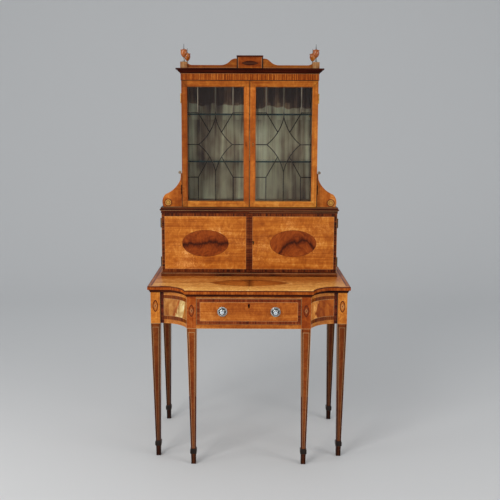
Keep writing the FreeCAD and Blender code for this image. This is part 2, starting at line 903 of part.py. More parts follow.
pieces["case_bottom"] = [box(
    -case_inner_half, case_inner_half, case_frame_y, case_back_y, cupboard_top_z, case_floor,
)]
pieces["case_top"] = [box(
    -case_inner_half, case_inner_half, case_frame_y, case_back_y, case_ceiling, case_top_z,
)]
pieces["case_back"] = [box(
    -case_inner_half, case_inner_half, case_back_y - back_thickness, case_back_y,
    case_floor, case_ceiling,
)]
pieces["back_lining"] = [box(
    -case_inner_half, case_inner_half, lining_front_y, case_back_y - back_thickness,
    case_floor, case_ceiling,
)]

# Glazed doors: mitred frames, one pane each, and a pattern of glazing bars before it
glass_y = case_setback + rebate_start
glazed_lock_height = stile_width - rebate_width
case_door_back = case_setback + glazed_door_thickness
sight_left = half_meeting + stile_width
sight_right = case_half - stile_width
sight_low = case_door_low + rail_width
sight_high = case_door_high - rail_width


def frame_member(corners, cuts):
    """One stile or rail of the right-hand door, with its ends mitred."""
    face = outline([Vector(x, case_setback, z) for x, z in corners])
    return face.extrude(Vector(0, glazed_door_thickness, 0)).cut(cuts)


def door_members(cuts):
    """The two stiles and two rails of the right-hand door."""
    left, right = half_meeting, case_half
    low, high = case_door_low, case_door_high
    return [
        frame_member([
            (left, low), (sight_left, sight_low), (sight_left, sight_high), (left, high),
        ], cuts),
        frame_member([
            (right, low), (right, high), (sight_right, sight_high), (sight_right, sight_low),
        ], cuts),
        frame_member([
            (left, low), (right, low), (sight_right, sight_low), (sight_left, sight_low),
        ], cuts),
        frame_member([
            (left, high), (sight_left, sight_high), (sight_right, sight_high), (right, high),
        ], cuts),
    ]


rebate = box(
    sight_left - rebate_width, sight_right + rebate_width, glass_y,
    case_door_back + overrun, sight_low - rebate_width, sight_high + rebate_width,
)
door_recesses = [each["door_recess"] for each in case_hinges]
pane_margin = rebate_width - glass_play
pane = box(
    sight_left - pane_margin, sight_right + pane_margin, glass_y, glass_y + glass_thickness,
    sight_low - pane_margin, sight_high + pane_margin,
)
pieces["glass_right"] = [pane]
pieces["glass_left"] = [mirrored(pane)]

# The bars' crossings, as shares of the glass seen inside the frame
outer_bar_share = 0.1875
high_bar_share = 0.2214
low_bar_share = 0.2105
point_share = 0.259
waist_share = 0.2
curve_shares = (0.393, 0.391)


def bar_point(across_share, down_share):
    """A place on the glass, from shares across and down."""
    return Vector(
        sight_left + (sight_right - sight_left) * across_share,
        case_setback + bar_reveal,
        sight_high - (sight_high - sight_low) * down_share,
    )


def straight_bar(start, end):
    """A straight glazing bar."""
    along = end - start
    side = Vector(-along.z, 0, along.x).normalize() * (bar_width / 2)
    face = outline([start - side, end - side, end + side, start + side])
    return face.extrude(Vector(0, rebate_start - bar_reveal, 0))


def curved_bar(start, via, end):
    """A glazing bar bent to an arc."""
    circle = Part.Arc(start, via, end).toShape().Curve
    centre = circle.Center

    def at(point, sign):
        away = point - centre
        return centre + away * ((circle.Radius + sign * bar_width / 2) / circle.Radius)

    face = outline([
        at(start, -1), (at(via, -1), at(end, -1)), at(end, 1), (at(via, 1), at(start, 1)),
    ])
    return face.extrude(Vector(0, rebate_start - bar_reveal, 0))


def bar_pattern():
    """All the bars of the right-hand door in one lattice."""
    def quarter(flip_x, flip_z):
        def at(across_share, down_share):
            across = 1 - across_share if flip_x else across_share
            down = 1 - down_share if flip_z else down_share
            return bar_point(across, down)

        bar_share = low_bar_share if flip_z else high_bar_share
        corner = at(outer_bar_share, bar_share)
        curve = at(*curve_shares)
        return [
            straight_bar(at(outer_bar_share, 0), corner),
            straight_bar(at(0, bar_share), corner),
            straight_bar(corner, curve),
            straight_bar(at(0.5, 0), at(0.5, point_share)),
            straight_bar(at(0, 0.5), at(waist_share, 0.5)),
            curved_bar(at(0.5, point_share), curve, at(waist_share, 0.5)),
        ]

    bars = []
    for flip_x in (False, True):
        for flip_z in (False, True):
            bars += quarter(flip_x, flip_z)
    sight = box(
        sight_left, sight_right, case_setback, glass_y, sight_low, sight_high,
    )
    return bars[0].fuse(bars[1:]).removeSplitter().common(sight)


bars_right = bar_pattern()
pieces["glazing_bars_right"] = [bars_right]
pieces["glazing_bars_left"] = [mirrored(bars_right)]

glazed_lock_z = (case_door_low + case_door_high) / 2
glazed_lock_y = case_door_back - lock_recess + lock_thickness / 2
glazed_key_z = glazed_lock_z + keyhole_drop / 2
glazed_key_x = half_meeting + glazed_backset
lock_space = box(
    half_meeting - overrun, half_meeting + glazed_lock_height, case_door_back - lock_recess,
    case_door_back + overrun, glazed_lock_z - lock_width / 2, glazed_lock_z + lock_width / 2,
)
key_cuts = keyhole_cuts(glazed_key_x, glazed_key_z, case_setback, case_door_back)
pieces["glazed_frame_right"] = door_members([rebate] + door_recesses + [lock_space] + key_cuts)
left_mortise = mirrored(moved(
    turned_left(lock_mortise()), half_meeting, glazed_lock_y, glazed_lock_z,
))
blind_cut = keyhole(
    glazed_key_x, glazed_key_z, case_setback - overrun, case_setback + bush_depth, bush_wall,
)
left_members = door_members([rebate] + door_recesses + [left_mortise, blind_cut])
pieces["glazed_frame_left"] = [mirrored(member) for member in left_members]
glazed_bush = keyhole_bush(glazed_key_x, glazed_key_z, case_setback)
pieces["glazed_door_left_brass"] = [
    mirrored(each["moving"]) for each in case_hinges
] + [mirrored(glazed_bush)]
glazed_lock = moved(
    turned_left(lock_body(glazed_lock_height, glazed_bolt_length)),
    half_meeting, glazed_lock_y, glazed_lock_z,
)
glazed_lock = glazed_lock.cut(keyhole(
    glazed_key_x, glazed_key_z, case_setback, glazed_lock_y, 0,
))
pieces["glazed_door_right_brass"] = [each["moving"] for each in case_hinges] + [
    glazed_lock, glazed_bush,
]
pieces["glazed_lock_bolt"] = [moved(
    turned_left(lock_bolt(glazed_bolt_length)), half_meeting, glazed_lock_y, glazed_lock_z,
)]

# Frieze and cornice of the glazed case
frieze_profile = [
    Vector(-case_frieze_depth, 0, case_top_z), Vector(0, 0, case_top_z),
    Vector(0, 0, cornice_bottom), Vector(-case_frieze_depth, 0, cornice_bottom),
]
pieces["case_frieze"] = mitred_surround(
    frieze_profile, frieze_half, frieze_front_y, case_back_y,
)
lip_reach = cornice_reach - cornice_lip_step
lip_bottom = cornice_top - cornice_lip_height
cyma_start = Vector(cornice_foot_reach, 0, cornice_bottom + cornice_foot_height)
cyma_end = Vector(lip_reach, 0, lip_bottom)
cyma_middle = (cyma_start + cyma_end) * 0.5
cornice_profile = [
    Vector(-cornice_depth, 0, cornice_bottom), Vector(cornice_foot_reach, 0, cornice_bottom),
    cyma_start, (level_arc(cyma_start, cyma_middle), cyma_middle),
    (level_arc(cyma_end, cyma_middle), cyma_end),
    Vector(cornice_reach, 0, lip_bottom), Vector(cornice_reach, 0, cornice_top),
    Vector(-cornice_depth, 0, cornice_top),
]
pieces["cornice"] = mitred_surround(
    cornice_profile, frieze_half, frieze_front_y, case_back_y,
)


# Gallery: a shaped board between the front blocks, its tablet, and two side boards
def gallery_point(x, rise):
    """A point of the gallery's outline, at its front face."""
    return Vector(x, front_block_y - gallery_thickness / 2, cornice_top + rise)


def ogee(start, end):
    """Two arcs, level at both ends, from one point to another."""
    middle = start + (end - start) * ogee_turn_share
    return [(level_arc(start, middle), middle), (level_arc(end, middle), end)]


block_face_x = block_x - block_width / 2
high_end = gallery_point(block_face_x, gallery_low + gallery_end_rise)
low_end = gallery_point(block_face_x - gallery_end_run, gallery_low)
ogee_low = gallery_point(ogee_outer, gallery_low)
ogee_high = gallery_point(ogee_inner, gallery_shoulder)
gallery_half = outline(
    [gallery_point(0, 0), gallery_point(block_face_x, 0), high_end]
    + [(level_arc(low_end, high_end), low_end)]
    + [ogee_low] + ogee(ogee_low, ogee_high)
    + [gallery_point(0, gallery_shoulder)]
).extrude(Vector(0, gallery_thickness, 0))
gallery_front = gallery_half.fuse(mirrored(gallery_half)).removeSplitter()
tablet_front = front_block_y - gallery_thickness / 2 - tablet_proud
tablet_back = front_block_y + gallery_thickness / 2
tablet_top = cornice_top + tablet_height
tablet = box(
    -tablet_width / 2, tablet_width / 2, tablet_front, tablet_back, cornice_top, tablet_top,
)
cap = box(
    -tablet_width / 2 - tablet_cap_reach, tablet_width / 2 + tablet_cap_reach,
    tablet_front - tablet_cap_reach, tablet_back + tablet_cap_reach,
    tablet_top, tablet_top + tablet_cap_height,
)
cap = round_edges(cap, tablet_edge, is_level)
pieces["gallery_tablet"] = [tablet, cap]

side_start = front_block_y + block_width / 2
side_end = rear_block_y - block_width / 2


def side_point(run, rise):
    """A point of the side board's outline, drawn along X before it is turned."""
    return Vector(run, 0, cornice_top + rise)


side_high_start = side_point(side_start, gallery_low + gallery_end_rise)
side_low_start = side_point(side_start + gallery_end_run, gallery_low)
side_low_end = side_point(side_end - gallery_end_run, gallery_low)
side_high_end = side_point(side_end, gallery_low + gallery_end_rise)
side_board = outline([
    side_point(side_start, 0), side_high_start,
    (level_arc(side_low_start, side_high_start), side_low_start),
    side_low_end, (level_arc(side_low_end, side_high_end), side_high_end),
    side_point(side_end, 0),
]).extrude(Vector(0, gallery_thickness, 0))
side_board.rotate(Vector(), Vector(0, 0, 1), 90)
side_board.translate(Vector(block_x + gallery_thickness / 2, 0, 0))
pieces["gallery_boards"] = [gallery_front.cut(tablet)] + both_sides(side_board)


# Finial blocks and turned urns
def make_block(y):
    """A square block with softened edges."""
    half = block_width / 2
    block = box(block_x - half, block_x + half, y - half, y + half, cornice_top, block_top)
    return round_edges(block, block_edge, lambda edge: edge.BoundBox.ZMin > cornice_top + overrun)


def make_urn(y):
    """One urn: spreading foot, thin neck, bowl, flat lid and spike, turned in one."""
    def at(radius, rise):
        return Vector(radius, 0, block_top + rise)

    bowl_low = urn_foot_height
    bowl_high = bowl_low + urn_bowl_height
    lid_high = bowl_high + urn_lid_height
    dome_high = lid_high + urn_dome_height
    tip = dome_high + urn_spike_height
    foot_edge_share = 0.14
    foot_waist_share = 1.35
    swell_rise_share = 0.3
    swell_share = 0.8
    belly_rise_share = 0.68
    mouth_share = 0.92
    dome_share = 0.55
    dome_rise_share = 0.7
    waist = at(urn_neck_radius * foot_waist_share, urn_foot_height / 2)
    swell = at(urn_bowl_radius * swell_share, bowl_low + urn_bowl_height * swell_rise_share)
    belly = at(urn_bowl_radius, bowl_low + urn_bowl_height * belly_rise_share)
    dome = at(urn_lid_radius * dome_share, lid_high + urn_dome_height * dome_rise_share)
    profile = outline([
        at(0, 0), at(urn_foot_radius, 0), at(urn_foot_radius, urn_foot_height * foot_edge_share),
        (waist, at(urn_neck_radius, bowl_low)), (swell, belly),
        at(urn_bowl_radius * mouth_share, bowl_high), at(urn_lid_radius, bowl_high),
        at(urn_lid_radius, lid_high), (dome, at(urn_spike_radius, dome_high)),
        at(urn_spike_radius / 2, tip), at(0, tip),
    ])
    urn = profile.revolve(Vector(), Vector(0, 0, 1), 360)
    urn.translate(Vector(block_x, y, 0))
    return urn


blocks = []
urns = []
for y in (front_block_y, rear_block_y):
    blocks += both_sides(make_block(y))
    urns += both_sides(make_urn(y))
pieces["finial_blocks"] = blocks
pieces["finials"] = urns

# Scroll brackets with a turned roundel
bracket_front = case_frame_y + bracket_setback


def bracket_point(shares):
    """A point of the bracket's outline."""
    return Vector(
        case_half + bracket_reach * shares[0], bracket_front,
        cupboard_top_z + bracket_height * shares[1],
    )


scroll_start, scroll_via, scroll_end = [bracket_point(s) for s in bracket_scroll_shares]
hollow_via, hollow_end = [bracket_point(s) for s in bracket_hollow_shares]
lip_via, lip_end = [bracket_point(s) for s in bracket_lip_shares]
bracket = outline([
    bracket_point((0, 0)), scroll_start, (scroll_via, scroll_end), (hollow_via, hollow_end),
    (lip_via, lip_end), bracket_point((0, 1)),
]).extrude(Vector(0, bracket_thickness, 0))
tip_centre = lip_end + Vector(1, 0, 1) * (bracket_tip_radius * bracket_tip_share)
tip_end = tip_centre + Vector(0, bracket_thickness, 0)
bracket = bracket.fuse(cylinder(bracket_tip_radius, tip_centre, tip_end)).removeSplitter()
roundel_back = bracket_point(roundel_centre_shares)
roundel_face = roundel_back - Vector(0, roundel_proud / 2, 0)
roundel_knob = roundel_back - Vector(0, roundel_proud, 0)
inner_ring_share = 0.72
centre_share = 0.4
roundel = cylinder(roundel_radius, roundel_back, roundel_face)
roundel = roundel.cut(cylinder(
    roundel_radius * inner_ring_share, roundel_back - Vector(0, roundel_proud / 4, 0),
    roundel_knob,
))
roundel = roundel.fuse(cylinder(roundel_radius * centre_share, roundel_back, roundel_knob))
pieces["bracket_right"] = [bracket, roundel]
pieces["bracket_left"] = [mirrored(bracket), mirrored(roundel)]

# Write one file for each named piece, moved to the middle of the plan
os.makedirs("parts", exist_ok=True)
for name, solids in pieces.items():
    single = []
    for solid in solids:
        solid = solid.translated(Vector(0, -plan_centre_y, 0))
        single += solid.Solids
    shape = single[0] if len(single) == 1 else Part.makeCompound(single)
    shape.exportStep("parts/" + name + ".step")
    print(name, len(single), "valid" if shape.isValid() else "NOT VALID")
print("nodes", len(pieces), "front to back", knob_front_y, plan_back_y)
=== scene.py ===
"""Writing cabinet: the looks of each piece, in the order in which the piece is put together."""
import bmesh
import bpy
import math
from mathutils import Matrix, Vector


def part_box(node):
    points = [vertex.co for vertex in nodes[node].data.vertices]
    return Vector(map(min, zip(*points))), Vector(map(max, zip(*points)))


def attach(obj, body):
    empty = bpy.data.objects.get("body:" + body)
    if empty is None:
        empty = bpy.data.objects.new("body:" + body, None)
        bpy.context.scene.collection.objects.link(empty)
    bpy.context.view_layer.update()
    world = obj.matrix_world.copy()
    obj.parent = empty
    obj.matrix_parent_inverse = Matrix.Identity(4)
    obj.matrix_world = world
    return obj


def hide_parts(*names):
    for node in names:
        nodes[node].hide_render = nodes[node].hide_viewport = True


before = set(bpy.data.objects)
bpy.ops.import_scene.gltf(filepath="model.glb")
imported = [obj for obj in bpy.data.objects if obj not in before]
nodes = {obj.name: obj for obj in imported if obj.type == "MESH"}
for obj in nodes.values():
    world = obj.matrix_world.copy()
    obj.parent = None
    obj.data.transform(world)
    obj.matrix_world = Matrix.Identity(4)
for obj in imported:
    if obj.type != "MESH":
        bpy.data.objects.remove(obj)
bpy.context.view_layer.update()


# Legs
# Six square legs of satinwood, browner towards the floor, with a boxwood line on both
# arrises and inside both edges of each tapering face, and a dark toe.  Each block has an
# oval of dark outline round a small dark lozenge.  The tapering faces are darkened for
# each pair of legs: most on the rear legs, as painted shade, and more on the outer legs
# than on the inner ones.
class Reading:
    """A number read at each point of a surface.  A sum on it lays in one more node."""

    def __init__(self, tree, socket):
        self.tree = tree
        self.socket = socket

    def work(self, what, *others):
        node = self.tree.nodes.new("ShaderNodeMath")
        node.operation = what
        for plug, value in zip(node.inputs, (self,) + others):
            wire(self.tree, plug, value)
        return Reading(self.tree, node.outputs[0])

    def __add__(self, other):
        return self.work("ADD", other)

    def __sub__(self, other):
        return self.work("SUBTRACT", other)

    def __rsub__(self, other):
        return self * -1.0 + other

    def __mul__(self, other):
        return self.work("MULTIPLY", other)

    def __truediv__(self, other):
        return self.work("DIVIDE", other)

    def size(self):
        return self.work("ABSOLUTE")

    def under(self, other):
        return self.work("LESS_THAN", other)

    def over(self, other):
        return self.work("GREATER_THAN", other)

    def least(self, other):
        return self.work("MINIMUM", other)

    def most(self, other):
        return self.work("MAXIMUM", other)

    def length(self, other):
        return (self * self + other * other).work("SQRT")

    def between(self, low, high):
        return self.over(low) * self.under(high)

    def held(self):
        """Kept from 0 to 1, as a mask is."""
        return self.most(0.0).least(1.0)

    def rises(self, start, slope):
        """A mask that is 0 up to the start and then climbs to 1."""
        return ((self - start) * slope).held()


def wire(tree, plug, value):
    """Joins a plug to a reading, a node or a socket, or sets it to a plain value."""
    if isinstance(value, Reading):
        value = value.socket
    if isinstance(value, bpy.types.Node):
        value = value.outputs[0]
    if isinstance(value, bpy.types.NodeSocket):
        tree.links.new(value, plug)
    else:
        plug.default_value = value


class Bench:
    """A node tree while it is being built."""

    def __init__(self, tree):
        self.tree = tree

    def add(self, kind, plugs=None, **settings):
        node = self.tree.nodes.new(kind)
        for name, value in settings.items():
            setattr(node, name, value)
        for plug, value in (plugs or {}).items():
            wire(self.tree, node.inputs[plug], value)
        return node

    def split(self, vector):
        parts = self.add("ShaderNodeSeparateXYZ", {0: vector})
        return [Reading(self.tree, socket) for socket in parts.outputs]

    def join(self, x, y, z):
        return self.add("ShaderNodeCombineXYZ", {0: x, 1: y, 2: z}).outputs[0]

    def stretch(self, vector, scale):
        node = self.add("ShaderNodeVectorMath", {0: vector, 1: scale}, operation="MULTIPLY")
        return node.outputs[0]

    def noise(self, vector, scale, detail=2.0, rough=0.5, swirl=0.0):
        node = self.add("ShaderNodeTexNoise", {
            "Vector": self.stretch(vector, scale), "Scale": 1.0, "Detail": detail,
            "Roughness": rough, "Distortion": swirl,
        })
        return Reading(self.tree, node.outputs["Fac"])

    def tint(self, factor, tones):
        """A colour picked by a number from tones in order, each at its place."""
        node = self.add("ShaderNodeValToRGB", {0: factor})
        ramp = node.color_ramp
        while len(ramp.elements) < len(tones):
            ramp.elements.new(0.5)
        for element, (place, colour) in zip(ramp.elements, tones):
            element.position = place
            element.color = (*colour, 1.0)
        return node.outputs[0]

    def blend(self, factor, first, second):
        """The first colour where the factor is 0 and the second where it is 1."""
        node = self.add("ShaderNodeMix", data_type="RGBA")
        wire(self.tree, node.inputs["Factor"], factor)
        wire(self.tree, node.inputs[6], first)
        wire(self.tree, node.inputs[7], second)
        return node.outputs[2]


def new_tree(kind, name, *sockets):
    """An empty node tree: its bench, what comes in, and its end."""
    tree = bpy.data.node_groups.new(name, kind)
    for label, way, what in sockets:
        tree.interface.new_socket(label, in_out=way, socket_type="NodeSocket" + what)
    bench = Bench(tree)
    return bench, bench.add("NodeGroupInput").outputs, bench.add("NodeGroupOutput").inputs


woods = {}


def new_wood(name):
    """An empty species: its bench, the cut that comes in, and what goes out."""
    bench, (cut, *_), end = new_tree(
        "ShaderNodeTree", name,
        ("Cut", "INPUT", "Vector"), ("Colour", "OUTPUT", "Color"), ("Grain", "OUTPUT", "Float"),
    )
    woods[name] = bench.tree
    return bench, cut, end


def season(name, tones, fine, ribbon, mottle, cloud):
    """One straight-grained species.  Each of the four figures is (along, across, share)."""
    bench, cut, end = new_wood(name)
    value = None
    for along, across, share, detail, swirl in (
        (*fine, 4.0, 0.15), (*ribbon, 2.0, 0.3), (*mottle, 3.0, 1.2), (*cloud, 2.0, 0.0),
    ):
        part = (bench.noise(cut, (along, across, across), detail, 0.6, swirl) - 0.5) * share
        value = part if value is None else value + part
    value = value + 0.5
    pores = bench.noise(cut, (55.0, 1900.0, 1900.0), 2.0, 0.5)
    pits = pores.rises(0.62, 6.0)
    colour = bench.tint(value, tones)
    dark = bench.stretch(colour, (0.62, 0.55, 0.5))
    wire(bench.tree, end[0], bench.blend(pits * 0.5, colour, dark))
    wire(bench.tree, end[1], value - pits * 0.5)


season(
    "satinwood",
    ((0.16, (0.225, 0.043, 0.005)), (0.42, (0.370, 0.084, 0.009)), (0.56, (0.475, 0.126, 0.015)),
     (0.70, (0.590, 0.188, 0.030)), (0.88, (0.730, 0.320, 0.085))),
    (7.0, 230.0, 0.60), (2.2, 34.0, 0.60), (48.0, 34.0, 0.70), (5.0, 7.0, 0.45),
)
season(
    "kingwood",
    ((0.25, (0.060, 0.009, 0.003)), (0.45, (0.150, 0.022, 0.004)), (0.62, (0.245, 0.044, 0.008)),
     (0.85, (0.350, 0.098, 0.018))),
    (9.0, 420.0, 0.7), (3.0, 120.0, 0.7), (30.0, 30.0, 0.30), (7.0, 11.0, 0.7),
)
season(
    "ebony",
    ((0.3, (0.010, 0.007, 0.006)), (0.75, (0.034, 0.022, 0.017))),
    (12.0, 500.0, 0.7), (5.0, 60.0, 0.3), (30.0, 30.0, 0.2), (9.0, 9.0, 0.3),
)


class Finish(Bench):
    """A veneered surface.  Veneers are laid over each other, and the last one shows."""

    def __init__(self, name):
        self.material = bpy.data.materials.new(name)
        self.material.use_nodes = True
        super().__init__(self.material.node_tree)
        self.shader = self.tree.nodes["Principled BSDF"]
        self.place = self.add("ShaderNodeTexCoord").outputs["Object"]
        self.x, self.y, self.z = self.split(self.place)
        self.colour = None
        self.grain = None
        self.fleck = self.noise(self.place, (600.0, 600.0, 600.0), 1.0)

    def cut(self, along, shift=0.0):
        """The surface's own place, with the grain along the named axis."""
        x, y, z = self.x + shift, self.y, self.z
        return self.join(*{"x": (x, y, z), "y": (y, x, z), "z": (z, x, y)}[along])

    def veneer(self, wood, cut, mask=None):
        """Lays a wood over the surface, all over or where the mask is 1."""
        leaf = self.add("ShaderNodeGroup", node_tree=woods[wood])
        wire(self.tree, leaf.inputs[0], cut)
        grain = Reading(self.tree, leaf.outputs[1])
        if mask is None:
            self.colour, self.grain = leaf.outputs[0], grain
        else:
            self.colour = self.blend(mask, self.colour, leaf.outputs[0])
            self.grain = self.grain + (grain - self.grain) * mask

    def line(self, mask, tone):
        """Lets in a fine line, or a small inlay, of boxwood, redwood or ebony."""
        dark, light = {
            "boxwood": ((0.46, 0.24, 0.09), (0.70, 0.43, 0.20)),
            "redwood": ((0.070, 0.012, 0.004), (0.150, 0.026, 0.006)),
            "ebony": ((0.012, 0.008, 0.007), (0.040, 0.024, 0.018)),
        }[tone]
        self.colour = self.blend(
            mask, self.colour, self.tint(self.fleck, ((0.35, dark), (0.65, light))),
        )

    def stain(self, mask, factor):
        """Darkens or warms the surface by a factor for each colour where the mask is 1."""
        self.colour = self.blend(mask, self.colour, self.stretch(self.colour, factor))

    def felt(self, height, distance, strength):
        """The dents that a height leaves, for the shader's Normal."""
        plugs = {"Height": height, "Distance": distance, "Strength": strength}
        return self.add("ShaderNodeBump", plugs)

    def shade(self, plugs):
        """Joins or sets the shader's plugs."""
        for name, value in plugs.items():
            wire(self.tree, self.shader.inputs[name], value)
        return self.material

    def polish(self, rough=0.36, gloss=0.13, relief=0.00006):
        """Rubs the surface up: shellac over the grain, with the pores just felt."""
        dull = self.noise(self.place, (9.0, 9.0, 9.0), 3.0)
        return self.shade({
            "Base Color": self.colour, "Roughness": dull * 0.16 + (rough - 0.08),
            "Specular IOR Level": gloss, "Normal": self.felt(self.grain, relief, 0.6),
        })


def face_with(material, *names):
    """Gives nodes of the frame their finish."""
    for name in names:
        nodes[name].data.materials.clear()
        nodes[name].data.materials.append(material)


def centred(name):
    """The middle and the half lengths of a node of the frame."""
    low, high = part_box(name)
    return (low + high) / 2, (high - low) / 2


frieze_bottom, block_middle, ankle, toe = 0.5935, 0.6695, 0.070, 0.0425
block_half, ankle_half = 0.0200, 0.0105
taper_slope = (block_half - ankle_half) / (frieze_bottom - ankle)
line_start, line_end, line_top = 0.0062, 0.0084, frieze_bottom - 0.0150
for place, leg_shade, block_tone in (
    ("inner", 0.88, (0.71, 0.51, 0.42)),
    ("outer", 0.62, (1.30, 1.58, 1.65)),
    ("rear", 0.40, (1.0, 1.0, 1.0)),
):
    leg = Finish("satinwood leg, " + place)
    leg_middle, _ = centred("leg_%s_right" % place)
    half = (leg.z - ankle) * taper_slope + ankle_half
    lean = (leg.z * (1 / frieze_bottom) - 1.0) * 0.004
    dx = (leg.x.size() - (lean.least(0.0) + leg_middle.x)).size()
    dy = (leg.y - leg_middle.y).size()
    in_face = dx.least(dy)
    margin = half - in_face
    taper = leg.z.under(frieze_bottom)
    leg.veneer("satinwood", leg.cut("z", 0.3))
    leg.stain(taper, (0.74, 0.66, 0.64))
    leg.stain(margin.under(line_start) * taper, (0.42, 0.36, 0.36))
    line_end_bar = leg.z.over(line_top - 0.0025) * margin.over(line_start)
    face_line = margin.between(line_start, line_end).most(line_end_bar)
    leg.line(face_line * leg.z.between(ankle, line_top), "boxwood")
    leg.line(margin.under(0.0019) * leg.z.between(0.300, frieze_bottom), "boxwood")
    # Painted shade: the tapering faces darken by a factor for each pair of legs, most on the rear
    # legs.
    leg.stain(taper, (0.86 * leg_shade, 0.76 * leg_shade, 0.73 * leg_shade))
    leg.stain(leg.z.over(frieze_bottom), block_tone)
    foot = (leg.z * -2.0 + 0.86).most(0.0).least(0.75)
    leg.stain(foot, (0.52, 0.48, 0.58))
    across = leg.x.size() - leg_middle.x
    up = leg.z - block_middle
    at_side = 1.0 - dy.over(dx)
    lens = ((across.size() + 0.0241).length(up) - 0.0241) / 0.0115
    oval = ((across / 0.0117).length(up / 0.0262) + lens) * 0.5 + at_side * 9.0
    lozenge = across.size() * 1.9 + up.size() + at_side
    leg.line(oval.between(0.72, 1.0), "redwood")
    leg.stain(oval.under(0.72), (0.80, 0.72, 0.70))
    leg.line(lozenge.under(0.0135) * 0.32, "boxwood")
    leg.line(lozenge.under(0.0040), "redwood")
    arris_line = (block_half - in_face).under(0.0010) * 0.5
    block_lines = arris_line.most(leg.z.under(frieze_bottom + 0.0014))
    leg.line(block_lines * leg.z.over(frieze_bottom), "boxwood")
    leg.stain(leg.z.under(toe), (0.42, 0.46, 0.60))
    face_with(leg.polish(0.34), "leg_%s_left" % place, "leg_%s_right" % place)

# Leg collars
# The swelling collar round each ankle, worked square and ebonised, and a little rubbed
# where it has been kicked.
collar = Finish("ebonised collar")
collar.veneer("ebony", collar.cut("z"))
rubbed = collar.noise(collar.place, (160.0, 160.0, 160.0), 3.0).rises(0.60, 5.0)
collar.stain(rubbed, (2.6, 2.1, 1.8))
face_with(collar.polish(0.30), "leg_collars")

# Hollow frieze panels
# Two hollow panels at the front corners, each one leaf of richly figured satinwood with a
# pale flame at its inner end and a kingwood crossband, between two plain golden strips.
# The flame is figure brightened as a painted highlight, with a painted shadow beside it on
# the left; the left panel is painted paler than the right as painted light.
hollow = Finish("hollow frieze panel")
hollow_x, hollow_y, hollow_radius = 0.376, -0.301134, 0.122634
run = (hollow.y - hollow_y).work("ARCTAN2", hollow_x - hollow.x.size()) * hollow_radius
level = hollow.z
on_left = hollow.x.under(0.0)
on_right = 1.0 - on_left
flow = hollow.join(level + hollow.x.size() * 0.6, run - 0.1, hollow.y * 0.2)
hollow.veneer("satinwood", hollow.stretch(flow, (0.6, 0.75, 1.0)))
plume_place = hollow.join(level + hollow.x, run, on_left * 0.4)
plume = hollow.noise(plume_place, (26.0, 34.0, 8.0), 3.0, 0.55, 1.4)
ragged = (plume - 0.5) * 0.030
# Painted light: the left panel is made paler and yellower than the right.
hollow.stain(on_left, (1.04, 1.55, 2.7))
hollow.stain(on_right, (0.94, 0.82, 0.62))
hollow.stain(((0.50 - plume) * 7.0).held(), (0.80, 0.70, 0.60))
middle = (0.700 - level) * 0.45 + 0.072
# Painted highlight: the figured flame at each inner end is brightened, with a painted shadow beside
# it on the left.
flame_highlight = (0.022 - (run - middle).size() + ragged) * 260.0
hollow.stain(flame_highlight.held() * on_left, (1.50, 2.8, 5.6))
shadow = ((run - middle - 0.029).size() * -150.0 + 0.9).most(0.0)
hollow.stain(shadow * on_left, (0.92, 0.50, 0.32))
wedge_highlight = ((level - 0.650).size() * 0.45 + 0.084 - run + ragged) * 260.0
hollow.stain(wedge_highlight.held() * on_right, (1.95, 3.5, 9.0))
field_low, field_high, field_start, field_end = 0.6262, 0.7010, 0.0300, 0.1776
string = 0.0014
field = level.between(field_low, field_high) * run.between(field_start, field_end)
inner_field = (
    level.between(field_low + string, field_high - string)
    * run.between(field_start, field_end - string)
)
framed = level.between(0.6104, 0.7155)
level_band = framed * level.over(field_high).most(level.under(field_low))
end_band = run.over(field_end)
hollow.veneer("satinwood", hollow.join(run, level, 0.0), 1.0 - framed)
hollow.stain(1.0 - framed, (1.10, 1.40, 2.0))
hollow.veneer("kingwood", hollow.join(level, run, 0.0), level_band)
hollow.veneer("kingwood", hollow.join(run, level, 0.0), end_band)
hollow.stain(level_band, (1.00, 1.25, 0.60))
hollow.stain(end_band, (0.78, 0.62, 0.60))
hollow.line(field * (1.0 - inner_field) * 0.7, "boxwood")
hollow.line(run.over(0.1900), "ebony")
face_with(hollow.polish(0.30, 0.2), "frieze_hollow_left", "frieze_hollow_right")

# Side rails, back rail and drawer rails
# The side rails have a satinwood field between crossbands; the rails over and under the
# drawer are straight-grained satinwood with a boxwood line; the back is plain oak.
season(
    "oak",
    ((0.2, (0.150, 0.075, 0.030)), (0.5, (0.290, 0.165, 0.072)), (0.8, (0.420, 0.265, 0.130))),
    (6.0, 330.0, 0.9), (1.6, 60.0, 0.9), (14.0, 30.0, 0.3), (4.0, 4.0, 0.4),
)


def crossband(finish, wood, across, up, half, width, run, deep, where=1.0):
    """Bands a rectangle's edges; gives how far inside them a point is, and the two cuts."""
    side = half[0] - across.size()
    ends = half[1] - up.size()
    inset = side.least(ends)
    along = finish.join(run, finish.z, deep)
    upright = finish.join(finish.z, run, deep)
    finish.veneer(wood, along, inset.under(width) * where)
    finish.veneer(wood, upright, inset.under(width) * ends.under(side) * where)
    return inset, along, upright


side = Finish("side rail")
side.veneer("satinwood", side.cut("y", 0.4))
outside = side.x.size().over(0.4155)
rail_middle, rail_half = centred("side_rails")
banded_middle, banded_half, rail_band = 0.6685, 0.0620, 0.0115
inset, along, _ = crossband(
    side, "kingwood", side.y - rail_middle.y, side.z - banded_middle,
    (rail_half.y, banded_half), rail_band, side.y, side.x, outside,
)
side.line(inset.between(rail_band, 0.0130) * outside, "boxwood")
side.veneer("satinwood", along, side.z.under(0.6080) * outside)
side.veneer("oak", along, side.x.size().under(0.3975))
face_with(side.polish(), "side_rails")

plain = Finish("oak board, lengthwise")
plain.veneer("oak", plain.cut("x"))
face_with(plain.polish(0.55, 0.25, 0.00012), "back_rail")

